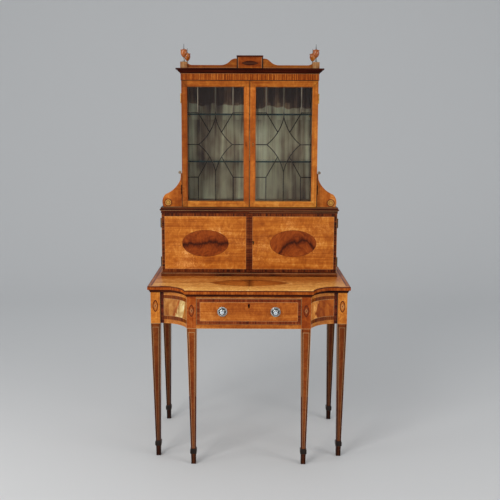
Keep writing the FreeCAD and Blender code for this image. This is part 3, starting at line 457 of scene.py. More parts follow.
rail = Finish("drawer rail")
rail.veneer("satinwood", rail.cut("x", 0.9))
rail.stain(rail.z.over(0.70), (0.88, 0.90, 1.10))
rail.stain(rail.z.under(0.62), (0.90, 0.90, 0.90))
low_line = rail.z.between(frieze_bottom, frieze_bottom + 0.0016)
rail.line(low_line.most(rail.z.between(0.7210, 0.7226) * 0.6), "boxwood")
rail.veneer("oak", rail.cut("x"), rail.y.over(-0.2515))
face_with(rail.polish(), "drawer_rail_top", "drawer_rail_bottom")

# Drawer
# The front is oak faced with satinwood, crossbanded in kingwood with a boxwood line and a
# dark oval round the keyhole.  Its oak sides are dovetailed to it; back and bottom are oak.
front = Finish("drawer front")
front.veneer("satinwood", front.cut("x", 0.15))
drawer_middle, drawer_half = centred("drawer_front")
drawer_face = drawer_middle.y - drawer_half.y
band_width, veneer_depth, keyhole_up = 0.0136, 0.0015, 0.6925
inset, along, _ = crossband(
    front, "kingwood", front.x, front.z - drawer_middle.z, (drawer_half.x, drawer_half.z),
    band_width, front.x, front.y,
)
pale_lines = (inset.between(band_width, 0.0150) * 0.55).most(inset.under(0.0014) * 0.30)
front.line(pale_lines, "boxwood")
front.line((front.x / 0.0050).length((front.z - keyhole_up) / 0.0092).under(1.0), "redwood")
in_oak = front.y.over(drawer_face + veneer_depth)
front.veneer("oak", along, in_oak)
front.stain(in_oak * front.x.size().over(0.2148), (0.62, 0.58, 0.55))
face_with(front.polish(0.33), "drawer_front")

box_wood = Finish("drawer side")
box_wood.veneer("oak", box_wood.cut("y", 0.2))
rubbed = box_wood.noise(box_wood.join(box_wood.z, box_wood.y, 0.0), (60.0, 5.0, 1.0), 3.0)
box_wood.stain(rubbed.rises(0.52, 6.0), (0.80, 0.76, 0.72))
face_with(box_wood.polish(0.6, 0.2, 0.00012), "drawer_sides", "drawer_runners")
face_with(plain.material, "drawer_back", "drawer_bottom")


# Drawer knobs
# Two cut glass knobs, backed with foil, each on a round silvered plate with a beaded rim
# and a dark dished ring inside it.  The shine of the glass and the dark star of its facets
# are painted into its colour as painted reflection.
def placed(name, data):
    """A mesh, a lamp or a camera as an object of the scene."""
    piece = bpy.data.objects.new(name, data)
    bpy.context.scene.collection.objects.link(piece)
    return piece


def shaped(name, shape, *materials):
    """A worked shape as a piece of the scene, in its materials."""
    mesh = bpy.data.meshes.new(name)
    shape.to_mesh(mesh)
    shape.free()
    for material in materials:
        mesh.materials.append(material)
    return placed(name, mesh)


def turned(name, rings, sides, centre, axis, material, twist=0.0, smooth=True):
    """A turned piece: rings of (radius, distance along the axis), closed at both ends."""
    axis = Vector(axis).normalized()
    first = axis.orthogonal().normalized()
    second = axis.cross(first)
    shape = bmesh.new()
    loops = []
    for number, (radius, along) in enumerate(rings):
        middle = Vector(centre) + axis * along
        if radius == 0:
            loops.append([shape.verts.new(middle)])
            continue
        loop = []
        for corner in range(sides):
            turn = 2 * math.pi * (corner + twist * (number % 2)) / sides
            loop.append(shape.verts.new(
                middle + (first * math.cos(turn) + second * math.sin(turn)) * radius
            ))
        loops.append(loop)
    for number, (low, high) in enumerate(zip(loops, loops[1:])):
        for corner in range(sides):
            after = (corner + 1) % sides
            if len(low) == 1:
                shape.faces.new((low[0], high[corner], high[after]))
            elif len(high) == 1:
                shape.faces.new((low[corner], low[after], high[0]))
            elif twist and number % 2 == 0:
                shape.faces.new((low[corner], low[after], high[corner]))
                shape.faces.new((low[after], high[after], high[corner]))
            elif twist:
                shape.faces.new((low[corner], high[after], high[corner]))
                shape.faces.new((low[corner], low[after], high[after]))
            else:
                shape.faces.new((low[corner], low[after], high[after], high[corner]))
    bmesh.ops.recalc_face_normals(shape, faces=shape.faces)
    for face in shape.faces:
        face.smooth = smooth
    return shaped(name, shape, material)


def gathered(name, parts):
    """Several made parts as one piece."""
    whole = bmesh.new()
    materials = []
    for part in parts:
        made = len(whole.faces)
        whole.from_mesh(part.data)
        whole.faces.ensure_lookup_table()
        for face in whole.faces[made:]:
            material = part.data.materials[face.material_index]
            if material not in materials:
                materials.append(material)
            face.material_index = materials.index(material)
        bpy.data.objects.remove(part)
    return shaped(name, whole, *materials)


def metal(name, colour, rough, tarnish, patches=90.0):
    """A cast or stamped metal, bright where it is rubbed and dull in its hollows."""
    finish = Finish(name)
    cloud = finish.noise(finish.place, (patches,) * 3, 4.0, 0.6)
    spots = cloud.rises(0.45, 3.5)
    return finish.shade({
        "Base Color": finish.tint(spots, ((0.0, colour), (1.0, tarnish))),
        "Roughness": spots * 0.25 + rough, "Metallic": 1.0,
        "Normal": finish.felt(cloud, 0.00005, 0.5),
    })


silver = metal("silvered plate", (0.56, 0.58, 0.57), 0.24, (0.13, 0.13, 0.12), 160.0)
dark_foil = metal("dark foil ring", (0.025, 0.035, 0.050), 0.30, (0.010, 0.012, 0.016))
cut_glass = Finish("foiled cut glass")
depth = cut_glass.noise(cut_glass.place, (420.0, 420.0, 420.0), 2.0)
knob_out, knob_up = 0.1098, drawer_middle.z
knob_across = cut_glass.x.size() - knob_out
around = (cut_glass.z - knob_up).work("ARCTAN2", knob_across)
out = (cut_glass.z - knob_up).length(knob_across)
# Painted reflection: a dark star of facets round the centre, on a pale shining glass colour.
painted_dark_facets = ((around * 7.0).work("SINE").over(0.55) * out.over(0.0055)).most(out.under(0.0020))
sheen = cut_glass.tint(depth, ((0.35, (0.50, 0.64, 0.74)), (0.65, (0.86, 0.92, 0.96))))
cut_glass.shade({
    "Base Color": cut_glass.blend(painted_dark_facets, sheen, (0.030, 0.045, 0.060, 1.0)),
    "Roughness": depth * 0.06 + 0.02, "Metallic": 0.15,
    "Coat Weight": 1.0, "Coat Roughness": 0.02,
})

knob_parts = []
plate_parts = []
bead_points = []
bead_ring, beads, outward = 0.0180, 16, (0, -1, 0)
for knob_x in (-knob_out, knob_out):
    seat = (knob_x, drawer_face, knob_up)
    knob_parts.append(turned("knob", (
        (0.0, 0.003), (0.0070, 0.003), (0.0050, 0.0100), (0.0094, 0.0180),
        (0.0092, 0.0205), (0.0070, 0.0246), (0.0048, 0.0262), (0.0, 0.0270),
    ), 14, seat, outward, cut_glass.material, twist=0.5, smooth=False))
    knob_parts.append(turned("knob bolt", (
        (0.0, -0.022), (0.0022, -0.022), (0.0025, -0.0215), (0.0025, 0.003), (0.0, 0.003),
    ), 20, seat, outward, silver))
    plate_parts.append(turned("plate", (
        (0.0027, 0.0), (0.0204, 0.0), (0.0208, 0.0006), (0.0204, 0.0013), (0.0190, 0.0018),
        (0.0162, 0.0018), (0.0154, 0.0030), (0.0146, 0.0030), (0.0138, 0.0018), (0.0027, 0.0015),
        (0.0027, 0.0),
    ), 72, seat, outward, silver))
    plate_parts.append(turned("dark ring", (
        (0.0104, 0.0016), (0.0137, 0.0019), (0.0137, 0.0021), (0.0104, 0.0027), (0.0104, 0.0016),
    ), 48, seat, outward, dark_foil))
    plate_parts.append(turned("bright disc", (
        (0.0027, 0.0016), (0.0104, 0.0019), (0.0104, 0.0025), (0.0027, 0.0029), (0.0027, 0.0016),
    ), 48, seat, outward, silver))
    for bead in range(beads):
        turn = 2 * math.pi * bead / beads
        bead_points.append((
            knob_x + bead_ring * math.cos(turn), drawer_face - 0.0022,
            knob_up + bead_ring * math.sin(turn),
        ))


def grown(name, tree, points, sizes):
    """What a Geometry Nodes tree makes of points, as a plain mesh."""
    seeds = bpy.data.meshes.new(name)
    seeds.from_pydata(points, [], [])
    host = placed(name, seeds)
    growth = host.modifiers.new(name, "NODES")
    growth.node_group = tree
    plugs = {item.name: item.identifier for item in tree.interface.items_tree}
    for plug, size in sizes.items():
        growth[plugs[plug]] = size
    view = bpy.context.evaluated_depsgraph_get()
    mesh = bpy.data.meshes.new_from_object(host.evaluated_get(view))
    bpy.data.objects.remove(host)
    return placed(name, mesh)


def bead_tree(name, material):
    """Round beads of one size on points."""
    bench, (points, radius, *_), end = new_tree(
        "GeometryNodeTree", name, ("Points", "INPUT", "Geometry"),
        ("Bead radius", "INPUT", "Float"), ("Beads", "OUTPUT", "Geometry"),
    )
    bead = bench.add("GeometryNodeMeshIcoSphere", {"Radius": radius, "Subdivisions": 2})
    spread = bench.add("GeometryNodeInstanceOnPoints", {"Points": points, "Instance": bead})
    real = bench.add("GeometryNodeRealizeInstances", {0: spread})
    smooth = bench.add("GeometryNodeSetShadeSmooth", {0: real})
    dressed = bench.add("GeometryNodeSetMaterial", {"Geometry": smooth, "Material": material})
    wire(bench.tree, end[0], dressed)
    return bench.tree


plate_parts.append(grown("beads", bead_tree("beads", silver), bead_points, {"Bead radius": 0.0029}))
knobs = gathered("cut_glass_knobs", knob_parts)
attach(knobs, "drawer")
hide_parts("knobs")
plates = gathered("beaded_plates", plate_parts)
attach(plates, "drawer")
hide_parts("knob_plates")

# Locks and their bolts
# Small brass locks let into the drawer front and the right-hand doors, with a small dark
# red-brown bush round each keyhole, and iron bolts drawn back into them.
brass = metal("aged brass", (0.62, 0.40, 0.13), 0.28, (0.22, 0.12, 0.045))
iron = metal("lock bolt iron", (0.36, 0.35, 0.34), 0.35, (0.12, 0.11, 0.10))
bronze = metal("darkened brass", (0.060, 0.018, 0.008), 0.42, (0.020, 0.008, 0.005))
bush = Finish("dark keyhole bush")
bush.veneer("kingwood", bush.cut("z"))
bush.stain(1.0, (0.50, 0.26, 0.30))
bush.polish(0.4, 0.08)
face_with(bronze, "drawer_lock")
keyed = (
    "cupboard_hinge_leaves_left", "cupboard_door_right_brass", "hinge_frame_leaves",
    "glazed_door_left_brass", "glazed_door_right_brass",
)
face_with(brass, "shelf_pegs", *keyed)
for name in keyed:
    mesh = nodes[name].data
    mesh.materials.append(bronze)
    mesh.materials.append(bush.material)
    for face in mesh.polygons:
        at_keyhole = face.center.y < (0.0410 if face.center.z < 1.066 else 0.0530)
        low_hinge = face.center.z < 1.25 and abs(face.center.x) > 0.25
        face.material_index = 1 if low_hinge else 2 * int(at_keyhole)
face_with(iron, "drawer_lock_bolt", "cupboard_lock_bolt", "glazed_lock_bolt")

# Hinge screws
# Three slotted brass screws hold each leaf of the eight hinges.  The slots stand at odd
# angles, as a driver leaves them.
def screw_tree():
    """Screw heads along Y on points: a round head with a dark slot across it."""
    bench, (points, radius, depth, *_), end = new_tree(
        "GeometryNodeTree", "screws", ("Points", "INPUT", "Geometry"),
        ("Head radius", "INPUT", "Float"), ("Head depth", "INPUT", "Float"),
        ("Screws", "OUTPUT", "Geometry"),
    )
    wide, deep = Reading(bench.tree, radius), Reading(bench.tree, depth)
    head = bench.add("GeometryNodeMeshCylinder", {"Vertices": 20, "Radius": radius, "Depth": depth})
    slot = bench.add("GeometryNodeMeshCube", {
        "Size": bench.join(wide * 1.8, wide * 0.28, deep * 1.06),
    })
    screw = bench.add("GeometryNodeJoinGeometry")
    for part, material in ((head, brass), (slot, bronze)):
        dressed = bench.add("GeometryNodeSetMaterial", {"Geometry": part, "Material": material})
        wire(bench.tree, screw.inputs[0], dressed)
    spin = bench.add("FunctionNodeRandomValue", {"Min": 0.0, "Max": math.pi, "Seed": 7})
    spun = bench.add("GeometryNodeInstanceOnPoints", {
        "Points": points, "Instance": screw,
        "Rotation": bench.join(math.pi / 2, spin.outputs[1], 0.0),
    })
    wire(bench.tree, end[0], bench.add("GeometryNodeRealizeInstances", {0: spun}))
    return bench.tree


screws = screw_tree()
screw_points = {}
for side, hand in (("left", -1), ("right", 1)):
    for stage, leaf_x, door_back, middles in (
        ("cupboard", 0.3845, 0.0555, (0.8202, 0.9948)),
        ("glazed", 0.2925, 0.0695, (1.1422, 1.5423)),
    ):
        door_body = "%s_%s_door" % (stage, side)
        for z in [middle + step for middle in middles for step in (-0.013, 0.0, 0.013)]:
            for body, y in ((door_body, door_back - 0.00015), ("root", door_back + 0.00065)):
                screw_points.setdefault(body, []).append((hand * leaf_x, y, z))
screw_sizes = {"Head radius": 0.0023, "Head depth": 0.0006}
for body, points in screw_points.items():
    heads = grown("hinge_screws_" + body, screws, points, screw_sizes)
    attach(heads, body)

# Table top
# One wide slab: a pale satinwood field of two leaves that runs out to a dark line at the
# front, satinwood and kingwood bands at the sides, and a pointed oval of crotch mahogany
# with a dark seam in the middle.  The field is painted paler towards the front as painted
# light, and the satinwood side bands are painted pale as a painted reflection.
def season_crotch():
    """Crotch mahogany: a dark spine along X, with plumes that sweep away from it."""
    bench, cut, end = new_wood("crotch mahogany")
    x, y, z = bench.split(cut)
    drift = (bench.noise(cut, (26.0, 9.0, 14.0), 3.0) - 0.5) * 0.050
    side = y + drift
    away = side.size()
    sweep = bench.join(x - away * 0.35 + side * 0.2, side * 0.35, z)
    plume = bench.noise(sweep, (150.0, 60.0, 60.0), 4.0, 0.6, 1.2)
    broad = bench.noise(cut, (24.0, 34.0, 16.0), 3.0, 0.55, 1.6)
    spine = (away * -105.0).work("EXPONENT") * (broad * 1.3 + 0.10)
    value = plume * 0.50 + broad * 0.75 - spine * 0.55 + away * 1.2 - 0.06
    colour = bench.tint(value, (
        (0.16, (0.030, 0.006, 0.002)), (0.36, (0.100, 0.017, 0.003)),
        (0.55, (0.205, 0.040, 0.006)), (0.74, (0.300, 0.068, 0.010)),
        (0.92, (0.380, 0.105, 0.018)),
    ))
    wire(bench.tree, end[0], colour)
    wire(bench.tree, end[1], value)


season_crotch()
top = Finish("table top")
top.veneer("satinwood", top.cut("x", 0.55))
# Painted light: the field is made paler towards the front of the top.
forward = ((top.y + 0.02) * -4.2).held()
top.stain(1.0, (1.12, 1.32, 1.6))
top.stain(forward, (1.85, 3.0, 5.2))
top.line(top.x.size().under(0.0006) * 0.5, "redwood")
slab_low, slab_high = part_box("table_top")
overhang = 0.012
wing_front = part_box("leg_outer_right")[0].y - overhang
aside = top.x.size()
from_corner = (aside - hollow_x).length(top.y - hollow_y) - (hollow_radius - overhang)
from_front = (top.y - slab_low.y).least(from_corner)
from_front = from_front + (top.y - wing_front - from_front) * aside.over(hollow_x)
from_side = slab_high.x - aside
edge = from_front.least(from_side).least(slab_high.y - top.y)
sideways = from_side.under(from_front + 0.0002)
border = edge.under(0.0125) * sideways
top.veneer("satinwood", top.cut("x", 0.7), border)
# Painted reflection: the satinwood border on the sides is stained pale.
top.stain(border, (0.80, 0.85, 1.50))
top.veneer("kingwood", top.cut("x"), edge.between(0.0125, 0.0190) * sideways)
top.line(edge.under(0.0030), "redwood")
oval_across = top.x - 0.002
reach = oval_across.length((top.y + 0.1150).size() + 0.168)
oval_edge = 0.2405
oval = reach.under(oval_edge)
top.veneer("crotch mahogany", top.join(oval_across, top.y + 0.0480, top.z), oval)
top.stain(oval, (1.75, 2.20, 2.0))
blotch = (1.0 - oval_across.size() * 40.0).most(0.0)
top.stain(blotch * oval, (0.50, 0.50, 0.50))
top.stain(oval_across.size().rises(0.070, 14.0) * oval, (0.72, 0.64, 0.56))
top.line(reach.between(oval_edge - 0.0030, oval_edge), "redwood")
top.line(oval_across.size().under(0.0008) * oval, "redwood")
outer = top.z.between(0.7401, 0.7516) * edge.under(0.0012)
round_edge = top.x * 0.8 + top.y * 0.6
top.veneer("satinwood", top.join(top.z, round_edge * 3.0, top.y), outer)
ticks = top.noise(top.join(round_edge, 0.0, 0.0), (420.0, 1.0, 1.0), 2.0, 0.7)
top.stain(outer, (0.95, 0.80, 0.68))
top.stain(ticks.rises(0.46, 6.0) * outer, (0.42, 0.30, 0.26))
face_with(top.polish(0.34, 0.10), "table_top")

# Moulding under the table top
# A stepped strip of dark rosewood, run round the front and sides, that closes the joint
# between the slab and the frieze.  It is darkened further as painted shade for the
# shadow under the slab's overhang.
season(
    "rosewood",
    ((0.25, (0.018, 0.004, 0.002)), (0.45, (0.078, 0.013, 0.003)), (0.62, (0.145, 0.027, 0.005)),
     (0.85, (0.230, 0.062, 0.012))),
    (9.0, 420.0, 0.9), (3.0, 110.0, 1.0), (30.0, 30.0, 0.35), (7.0, 11.0, 0.7),
)
dark = Finish("dark moulding")
dark.veneer("rosewood", dark.join(dark.x * 0.8 + dark.y * 0.5, dark.z, dark.y))
# Painted shade: darkened all over for the shadow under the overhang.
dark.stain(1.0, (0.55, 0.5, 0.5))
face_with(dark.polish(0.34, 0.08), "top_moulding")

# Cupboard mouldings
# Base and crown are rosewood, run in lengths and mitred at the front corners.  Fine pale
# lines are let in near the top edges of both.
strip = Finish("cupboard moulding")
strip.veneer("rosewood", strip.join(strip.x * 0.9 + strip.y * 0.6, strip.z, strip.y))
strip.stain(strip.z.over(1.0), (0.62, 0.50, 0.45))
strip.stain(strip.z.under(1.0), (1.15, 1.45, 1.55))
strip.line(strip.z.between(1.0512, 1.0532) * 0.55, "boxwood")
strip.line(strip.z.between(1.0432, 1.0446) * strip.x.over(0.0) * 0.3, "boxwood")
strip.line(strip.z.between(1.0628, 1.0644) * 0.25, "boxwood")
strip.line(strip.z.between(0.7690, 0.7704) * 0.5, "boxwood")
face_with(strip.polish(0.32, 0.12), "cupboard_crown", "cupboard_base_moulding")

# Cupboard doors
# Each door is one board faced with mottled satinwood, with a rosewood crossband, a fine
# boxwood line and an oval of crotch mahogany, whose dark spine is bent to an arch in the
# right-hand door.  The back is plain veneer.
door = Finish("cupboard door")
door_middle, door_half = centred("cupboard_door_right")
across = door.x.size() - door_middle.x
door.veneer("satinwood", door.join(door.x + 0.27, door.z * 0.8, door.y))
door.stain(1.0, (1.11, 1.27, 1.25))
speck = door.noise(door.place, (150.0, 4.0, 130.0), 2.0, 0.55, 2.2)
cluster = door.noise(door.place, (9.0, 4.0, 12.0), 2.0)
door.stain((speck + cluster * 0.8).rises(0.985, 9.0) * 0.85, (1.30, 1.65, 3.0))
inset, _, upright = crossband(
    door, "rosewood", across, door.z - door_middle.z, (door_half.x, door_half.z), band_width,
    door.x, door.y,
)
door.stain(inset.under(band_width) * door.z.over(1.02), (1.45, 1.55, 1.25))
door.line(inset.between(band_width, 0.0149) * 0.45, "boxwood")
door.line(door.x.size().over(0.3888) * 0.6, "boxwood")
oval_up = door.z - 0.9050
door.line((across / 0.1036).length(oval_up / 0.0600).under(1.0), "redwood")
oval = (across / 0.1022).length(oval_up / 0.0586).under(1.0)
on_right = door.x.over(0.0)
arch = ((across - 0.030) * (across - 0.030) * 7.4 - 0.015) * on_right
leaf = door.join(across, oval_up + arch, on_right * 0.43 + 0.2)
door.veneer("crotch mahogany", leaf, oval)
door.stain(oval, (1.14, 1.06, 0.9))
behind = door.y.over(0.0385)
door.veneer("satinwood", upright, behind)
door.stain(behind, (0.75, 0.62, 0.50))
face_with(door.polish(0.32), "cupboard_door_left", "cupboard_door_right")

# Cupboard boards
# Sides faced with satinwood inside a crossband; bottom and top are oak boards, and the back
# is upright oak boards, nailed on round its edges.
flank = Finish("cupboard side")
flank.veneer("satinwood", flank.cut("y", 0.8))
flank_middle, flank_half = 0.1735, (0.1170, 0.1335)
inset, along, _ = crossband(
    flank, "rosewood", flank.y - flank_middle, flank.z - door_middle.z, flank_half, band_width,
    flank.y, flank.x,
)
flank.line(inset.between(band_width, 0.0150), "boxwood")
flank.veneer("oak", along, flank.x.size().under(0.3895))
face_with(flank.polish(), "cupboard_sides")
face_with(plain.material, "cupboard_bottom", "cupboard_top")

boards = Finish("upright back boards")
boards_along = boards.x * 7.3
number = boards_along.work("FLOOR")
boards.veneer("oak", boards.join(boards.z + number * 0.37, boards.x, boards.y))
joint = (boards_along.work("FRACT") - 0.5).size().over(0.494)
boards.stain(joint, (0.18, 0.15, 0.13))
boards.stain((number * 2.4).work("SINE") * 0.5 + 0.5, (0.78, 0.74, 0.70))
face_with(boards.polish(0.6, 0.2, 0.00012), "cupboard_back", "case_back")

nail_points = []
for half_x, back_y, low_z, high_z in (
    (0.3665, 0.2905, 0.782, 1.041), (0.2745, 0.2845, 1.092, 1.592),
):
    head_y = back_y - 0.0011
    across_steps, up_steps = round(half_x / 0.042), round((high_z - low_z) / 0.085)
    for step in range(across_steps + 1):
        x = half_x * (2 * step / across_steps - 1)
        nail_points += [(x, head_y, low_z), (x, head_y, high_z)]
    for step in range(1, up_steps):
        z = low_z + (high_z - low_z) * step / up_steps
        nail_points += [(-half_x, head_y, z), (half_x, head_y, z)]
nails = grown("back_nails", bead_tree("nails", iron), nail_points, {"Bead radius": 0.0021})
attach(nails, "root")

# Case sides, bottom and top
# The boards of the glazed case, faced with satinwood outside and on the front edges, and
# plain oak within.
case = Finish("case board")
case.veneer("satinwood", case.cut("z", 0.2))
inner = case.x.size().under(0.2975) * case.y.over(0.0705) * case.z.between(1.067, 1.6175)
case.veneer("oak", case.cut("z"), inner)
case.stain(inner, (0.6, 0.55, 0.5))
face_with(case.polish(), "case_sides", "case_bottom", "case_top")

# Lining of the case
# Grey-green silk, laid in soft upright pleats over the back board and fixed at its edges.
# It is painted paler in the middle as painted light, and darker at its right-hand end and
# in a strip under each shelf as painted shade; near the top it carries a dark, brown
# painted shadow, with painted patches of light between it and the upper shelf.
silk = Finish("pleated silk")
hang = silk.join(silk.x + 0.062, silk.y, silk.z)
tone = silk.noise(hang, (26.0, 1.0, 1.3), 3.0, 0.6, 0.4)
fade = silk.noise(hang, (6.0, 5.0, 5.0), 2.0)
streak = silk.noise(hang, (60.0, 1.0, 2.5), 3.0, 0.6, 0.4)
patch = silk.noise(hang, (17.0, 1.0, 9.0), 2.0, 0.5)
dark_from = 1.5145
# Painted light and shade: pale patches just above the upper shelf, and a dark brown painted shadow
# over the top with an uneven lower edge.
lit = silk.noise(silk.place, (31.0, 1.0, 4.0), 1.0).rises(0.47, 14.0)
lit_band = silk.z.between(1.452, 1.5300) * lit
uneven = silk.noise(hang, (15.0, 0.0, 0.0), 1.0) * 0.06 + silk.x * 0.04
shaded = (silk.z + uneven).rises(1.5425, 200.0)
value = tone * 0.85 + fade * 0.25 + streak * 0.45 + patch * 0.45 - 0.430 - shaded * 0.19
value = value - silk.z.rises(dark_from, 18.0) * 0.09 + lit_band * 0.09
# Painted light: paler in the middle of the back; painted shade: darker under each shelf and towards
# the right-hand end.
painted_middle_light = (1.0 - (silk.x - 0.015).size() * 8.3).most(0.45 - (silk.x + 0.185).size() * 9.0)
painted_middle_light = painted_middle_light.most(0.0) * (23.2 - silk.z * 16.0).held()
painted_shelf_shade = ((silk.z - 1.385) * 15.0).least(59.0 - silk.z * 40.0)
painted_shelf_shade = painted_shelf_shade.most(((silk.z - 1.194) * 15.0).least(51.2 - silk.z * 40.0)).most(0.0)
value = value + painted_middle_light * 0.175 - painted_shelf_shade * 0.035 - (silk.x - 0.165).most(0.0) * 0.75
colour = silk.tint(value, (
    (0.34, (0.090, 0.047, 0.030)), (0.46, (0.245, 0.165, 0.102)), (0.60, (0.530, 0.465, 0.290)),
    (0.76, (0.800, 0.780, 0.540)), (0.90, (0.960, 0.950, 0.720)),
))
colour = silk.blend(shaded, colour, silk.stretch(colour, (0.90, 0.62, 0.52)))
weave_x = (silk.x * 5200.0).work("SINE")
weave_z = (silk.z * 5200.0).work("SINE")
weave = weave_x * weave_z * 0.5 + 0.5
silk.shade({
    "Base Color": silk.blend(weave * 0.18, colour, silk.stretch(colour, (0.6, 0.6, 0.6))),
    "Roughness": 0.62, "Sheen Weight": 0.25, "Sheen Roughness": 0.4,
    "Normal": silk.felt(weave, 0.00012, 0.5),
})

lining_low, lining_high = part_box("back_lining")
columns, rows = 560, 44
wide = lining_high.x - lining_low.x
tall = lining_high.z - lining_low.z


def pleat_depth(x, height):
    """How far the silk stands off the board: soft pleats of uneven width."""
    beat = x * 210.0 + 1.6 * math.sin(x * 23.0) + 0.35 * math.sin(height * 9.0 + x * 31.0)
    fold = 0.5 + 0.5 * math.sin(beat)
    pinch = 0.55 + 0.45 * math.sin(math.pi * height / tall)
    return 0.0023 * fold ** 1.6 * pinch


places = []
for row in range(rows + 1):
    height = tall * row / rows
    for column in range(columns + 1):
        x = lining_low.x + wide * column / columns
        y = lining_low.y + 0.0026 - pleat_depth(x, height)
        places.append((x, y, lining_low.z + height))
weft = columns + 1
mesh = bpy.data.meshes.new("silk_lining")
mesh.from_pydata(places, [], [
    (place, place + 1, place + weft + 1, place + weft)
    for row in range(rows) for place in range(row * weft, row * weft + columns)
])
mesh.materials.append(silk.material)
for face in mesh.polygons:
    face.use_smooth = True
lining = placed("silk_lining", mesh)
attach(lining, "root")
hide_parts("back_lining")


# Panes and shelves
# Crown glass panes in the doors, faintly uneven, and two thick glass shelves whose front
# edges show deep green.
def glass(name, colour, rough):
    """Clear glass with a slight waviness."""
    finish = Finish(name)
    wave = finish.noise(finish.place, (14.0, 14.0, 9.0), 2.0)
    finish.shade({
        "Base Color": (*colour, 1.0), "Roughness": rough, "IOR": 1.25,
        "Transmission Weight": 1.0, "Normal": finish.felt(wave, 0.0004, 0.15),
    })
    return finish


pane = glass("window glass", (0.98, 0.99, 0.985), 0.0)
face_with(pane.material, "glass_left", "glass_right")
clear = (0.90, 0.97, 0.95)
shelf = glass("shelf glass", clear, 0.01)
edge_tone = shelf.noise(shelf.place, (30.0, 30.0, 30.0), 2.0)
edge_colour = shelf.tint(edge_tone, ((0.35, (0.004, 0.016, 0.018)), (0.65, (0.012, 0.042, 0.044))))
at_edge = shelf.y.under(0.0775)
shelf.shade({
    "Base Color": shelf.blend(at_edge, (*clear, 1.0), edge_colour),
    "Transmission Weight": 1.0 - at_edge * 0.8,
})
face_with(shelf.material, "glass_shelves")

# Glazed door frames
# Mitred frames of plain satinwood.  The grain runs along each stile and rail, and turns at
# the mitre.  The left stile is painted darker and the right stile paler, as painted shade and
# light; the top rail is darker and the bottom rail paler.  A dark line at the meeting stiles
# and beside the scrolls is painted shade for the gaps there.
sash = Finish("glazed door frame")
frame_middle, frame_half = centred("glazed_frame_right")
stile_width, rail_width = 0.026, 0.027
from_side = frame_half.x - (sash.x.size() - frame_middle.x).size()
from_end = frame_half.z - (sash.z - frame_middle.z).size()
past_mitre = from_end * (stile_width / rail_width) - from_side
sash.veneer("satinwood", sash.join(sash.z, sash.x + 0.6, sash.y))
sash.veneer("satinwood", sash.join(sash.x + 1.3, sash.z, sash.y), past_mitre.under(0.0))
sash.stain(past_mitre.size().under(0.0004), (0.35, 0.25, 0.2))
rebate = from_side.least(from_end).over(0.0245) * sash.y.under(0.0505)
sash.veneer("ebony", sash.cut("z"), rebate * 0.5)
# Painted shade and light: the left stile darker and the right stile paler; the top rail darker and
# the bottom rail paler.
sash.stain(sash.x.under(-0.272), (0.61, 0.54, 0.52))
sash.stain(sash.z.over(1.5900), (0.80, 0.80, 0.64))
sash.stain(sash.z.under(1.0940), (1.16, 1.42, 1.50))
sash.stain(sash.x.over(0.272), (1.05, 1.22, 1.30))
# Painted shade: a dark ebony line on the front edge where the doors meet and beside the scrolls,
# for the shadow in those gaps.
beside_scroll = sash.x.size().over(0.2970) * sash.z.under(1.215)
meeting = sash.x.size().under(0.0018)
sash.line(beside_scroll.most(meeting) * sash.y.under(0.0510), "ebony")
face_with(sash.polish(0.30), "glazed_frame_left", "glazed_frame_right")

# Glazing bars
# Slender bars of dark wood over each pane, each faced with a fine round moulding.  The
# moulding's upper left side carries a painted highlight: sparse painted glints low down, and
# pale all along above the upper shelf, where the bars themselves are painted paler too.
bar_section = (
    (-0.0020, -0.0004), (-0.0019, 0.0007), (-0.0010, 0.0018), (0.0, 0.0023),
    (0.0010, 0.0018), (0.0019, 0.0007), (0.0020, -0.0004),
)


def run_along(shape, path, face_y):
    """Runs the moulding along a path of (x, z) places, closed at both ends."""
    rings = []
    for number, place in enumerate(path):
        before, after = path[max(number - 1, 0)], path[min(number + 1, len(path) - 1)]
        along = (after - before).normalized()
        side = Vector((-along.y, along.x))
        rings.append([
            shape.verts.new((place.x + side.x * out, face_y - rise, place.y + side.y * out))
            for out, rise in bar_section
        ])
    # The side that faces the light gets the painted highlight material.
    lit = side.y > side.x
    for first, second in zip(rings, rings[1:]):
        for corner in range(len(bar_section)):
            after = (corner + 1) % len(bar_section)
            face = shape.faces.new((first[corner], first[after], second[after], second[corner]))
            if after:
                face.material_index = int((corner > 2) == lit)
    shape.faces.new(rings[0])
    shape.faces.new(rings[-1])


def bent(start, via, end):
    """Places on the arc through three places."""
    first, second = via - start, end - start
    cross = 2 * (first.x * second.y - first.y * second.x)
    centre = start + Vector((
        second.y * first.length_squared - first.y * second.length_squared,
        first.x * second.length_squared - second.x * first.length_squared,
    )) / cross
    opening = [math.atan2((place - centre).y, (place - centre).x) for place in (start, via, end)]
    for index in (1, 2):
        while opening[index] - opening[index - 1] > math.pi:
            opening[index] -= 2 * math.pi
        while opening[index] - opening[index - 1] < -math.pi:
            opening[index] += 2 * math.pi
    radius = (start - centre).length
    turns = [opening[0] + (opening[2] - opening[0]) * step / 16 for step in range(17)]
    return [centre + Vector((math.cos(turn), math.sin(turn))) * radius for turn in turns]


bars = Finish("glazing bar")
bars.veneer("ebony", bars.cut("z"))
bars.stain(1.0, (0.5, 0.4, 0.4))
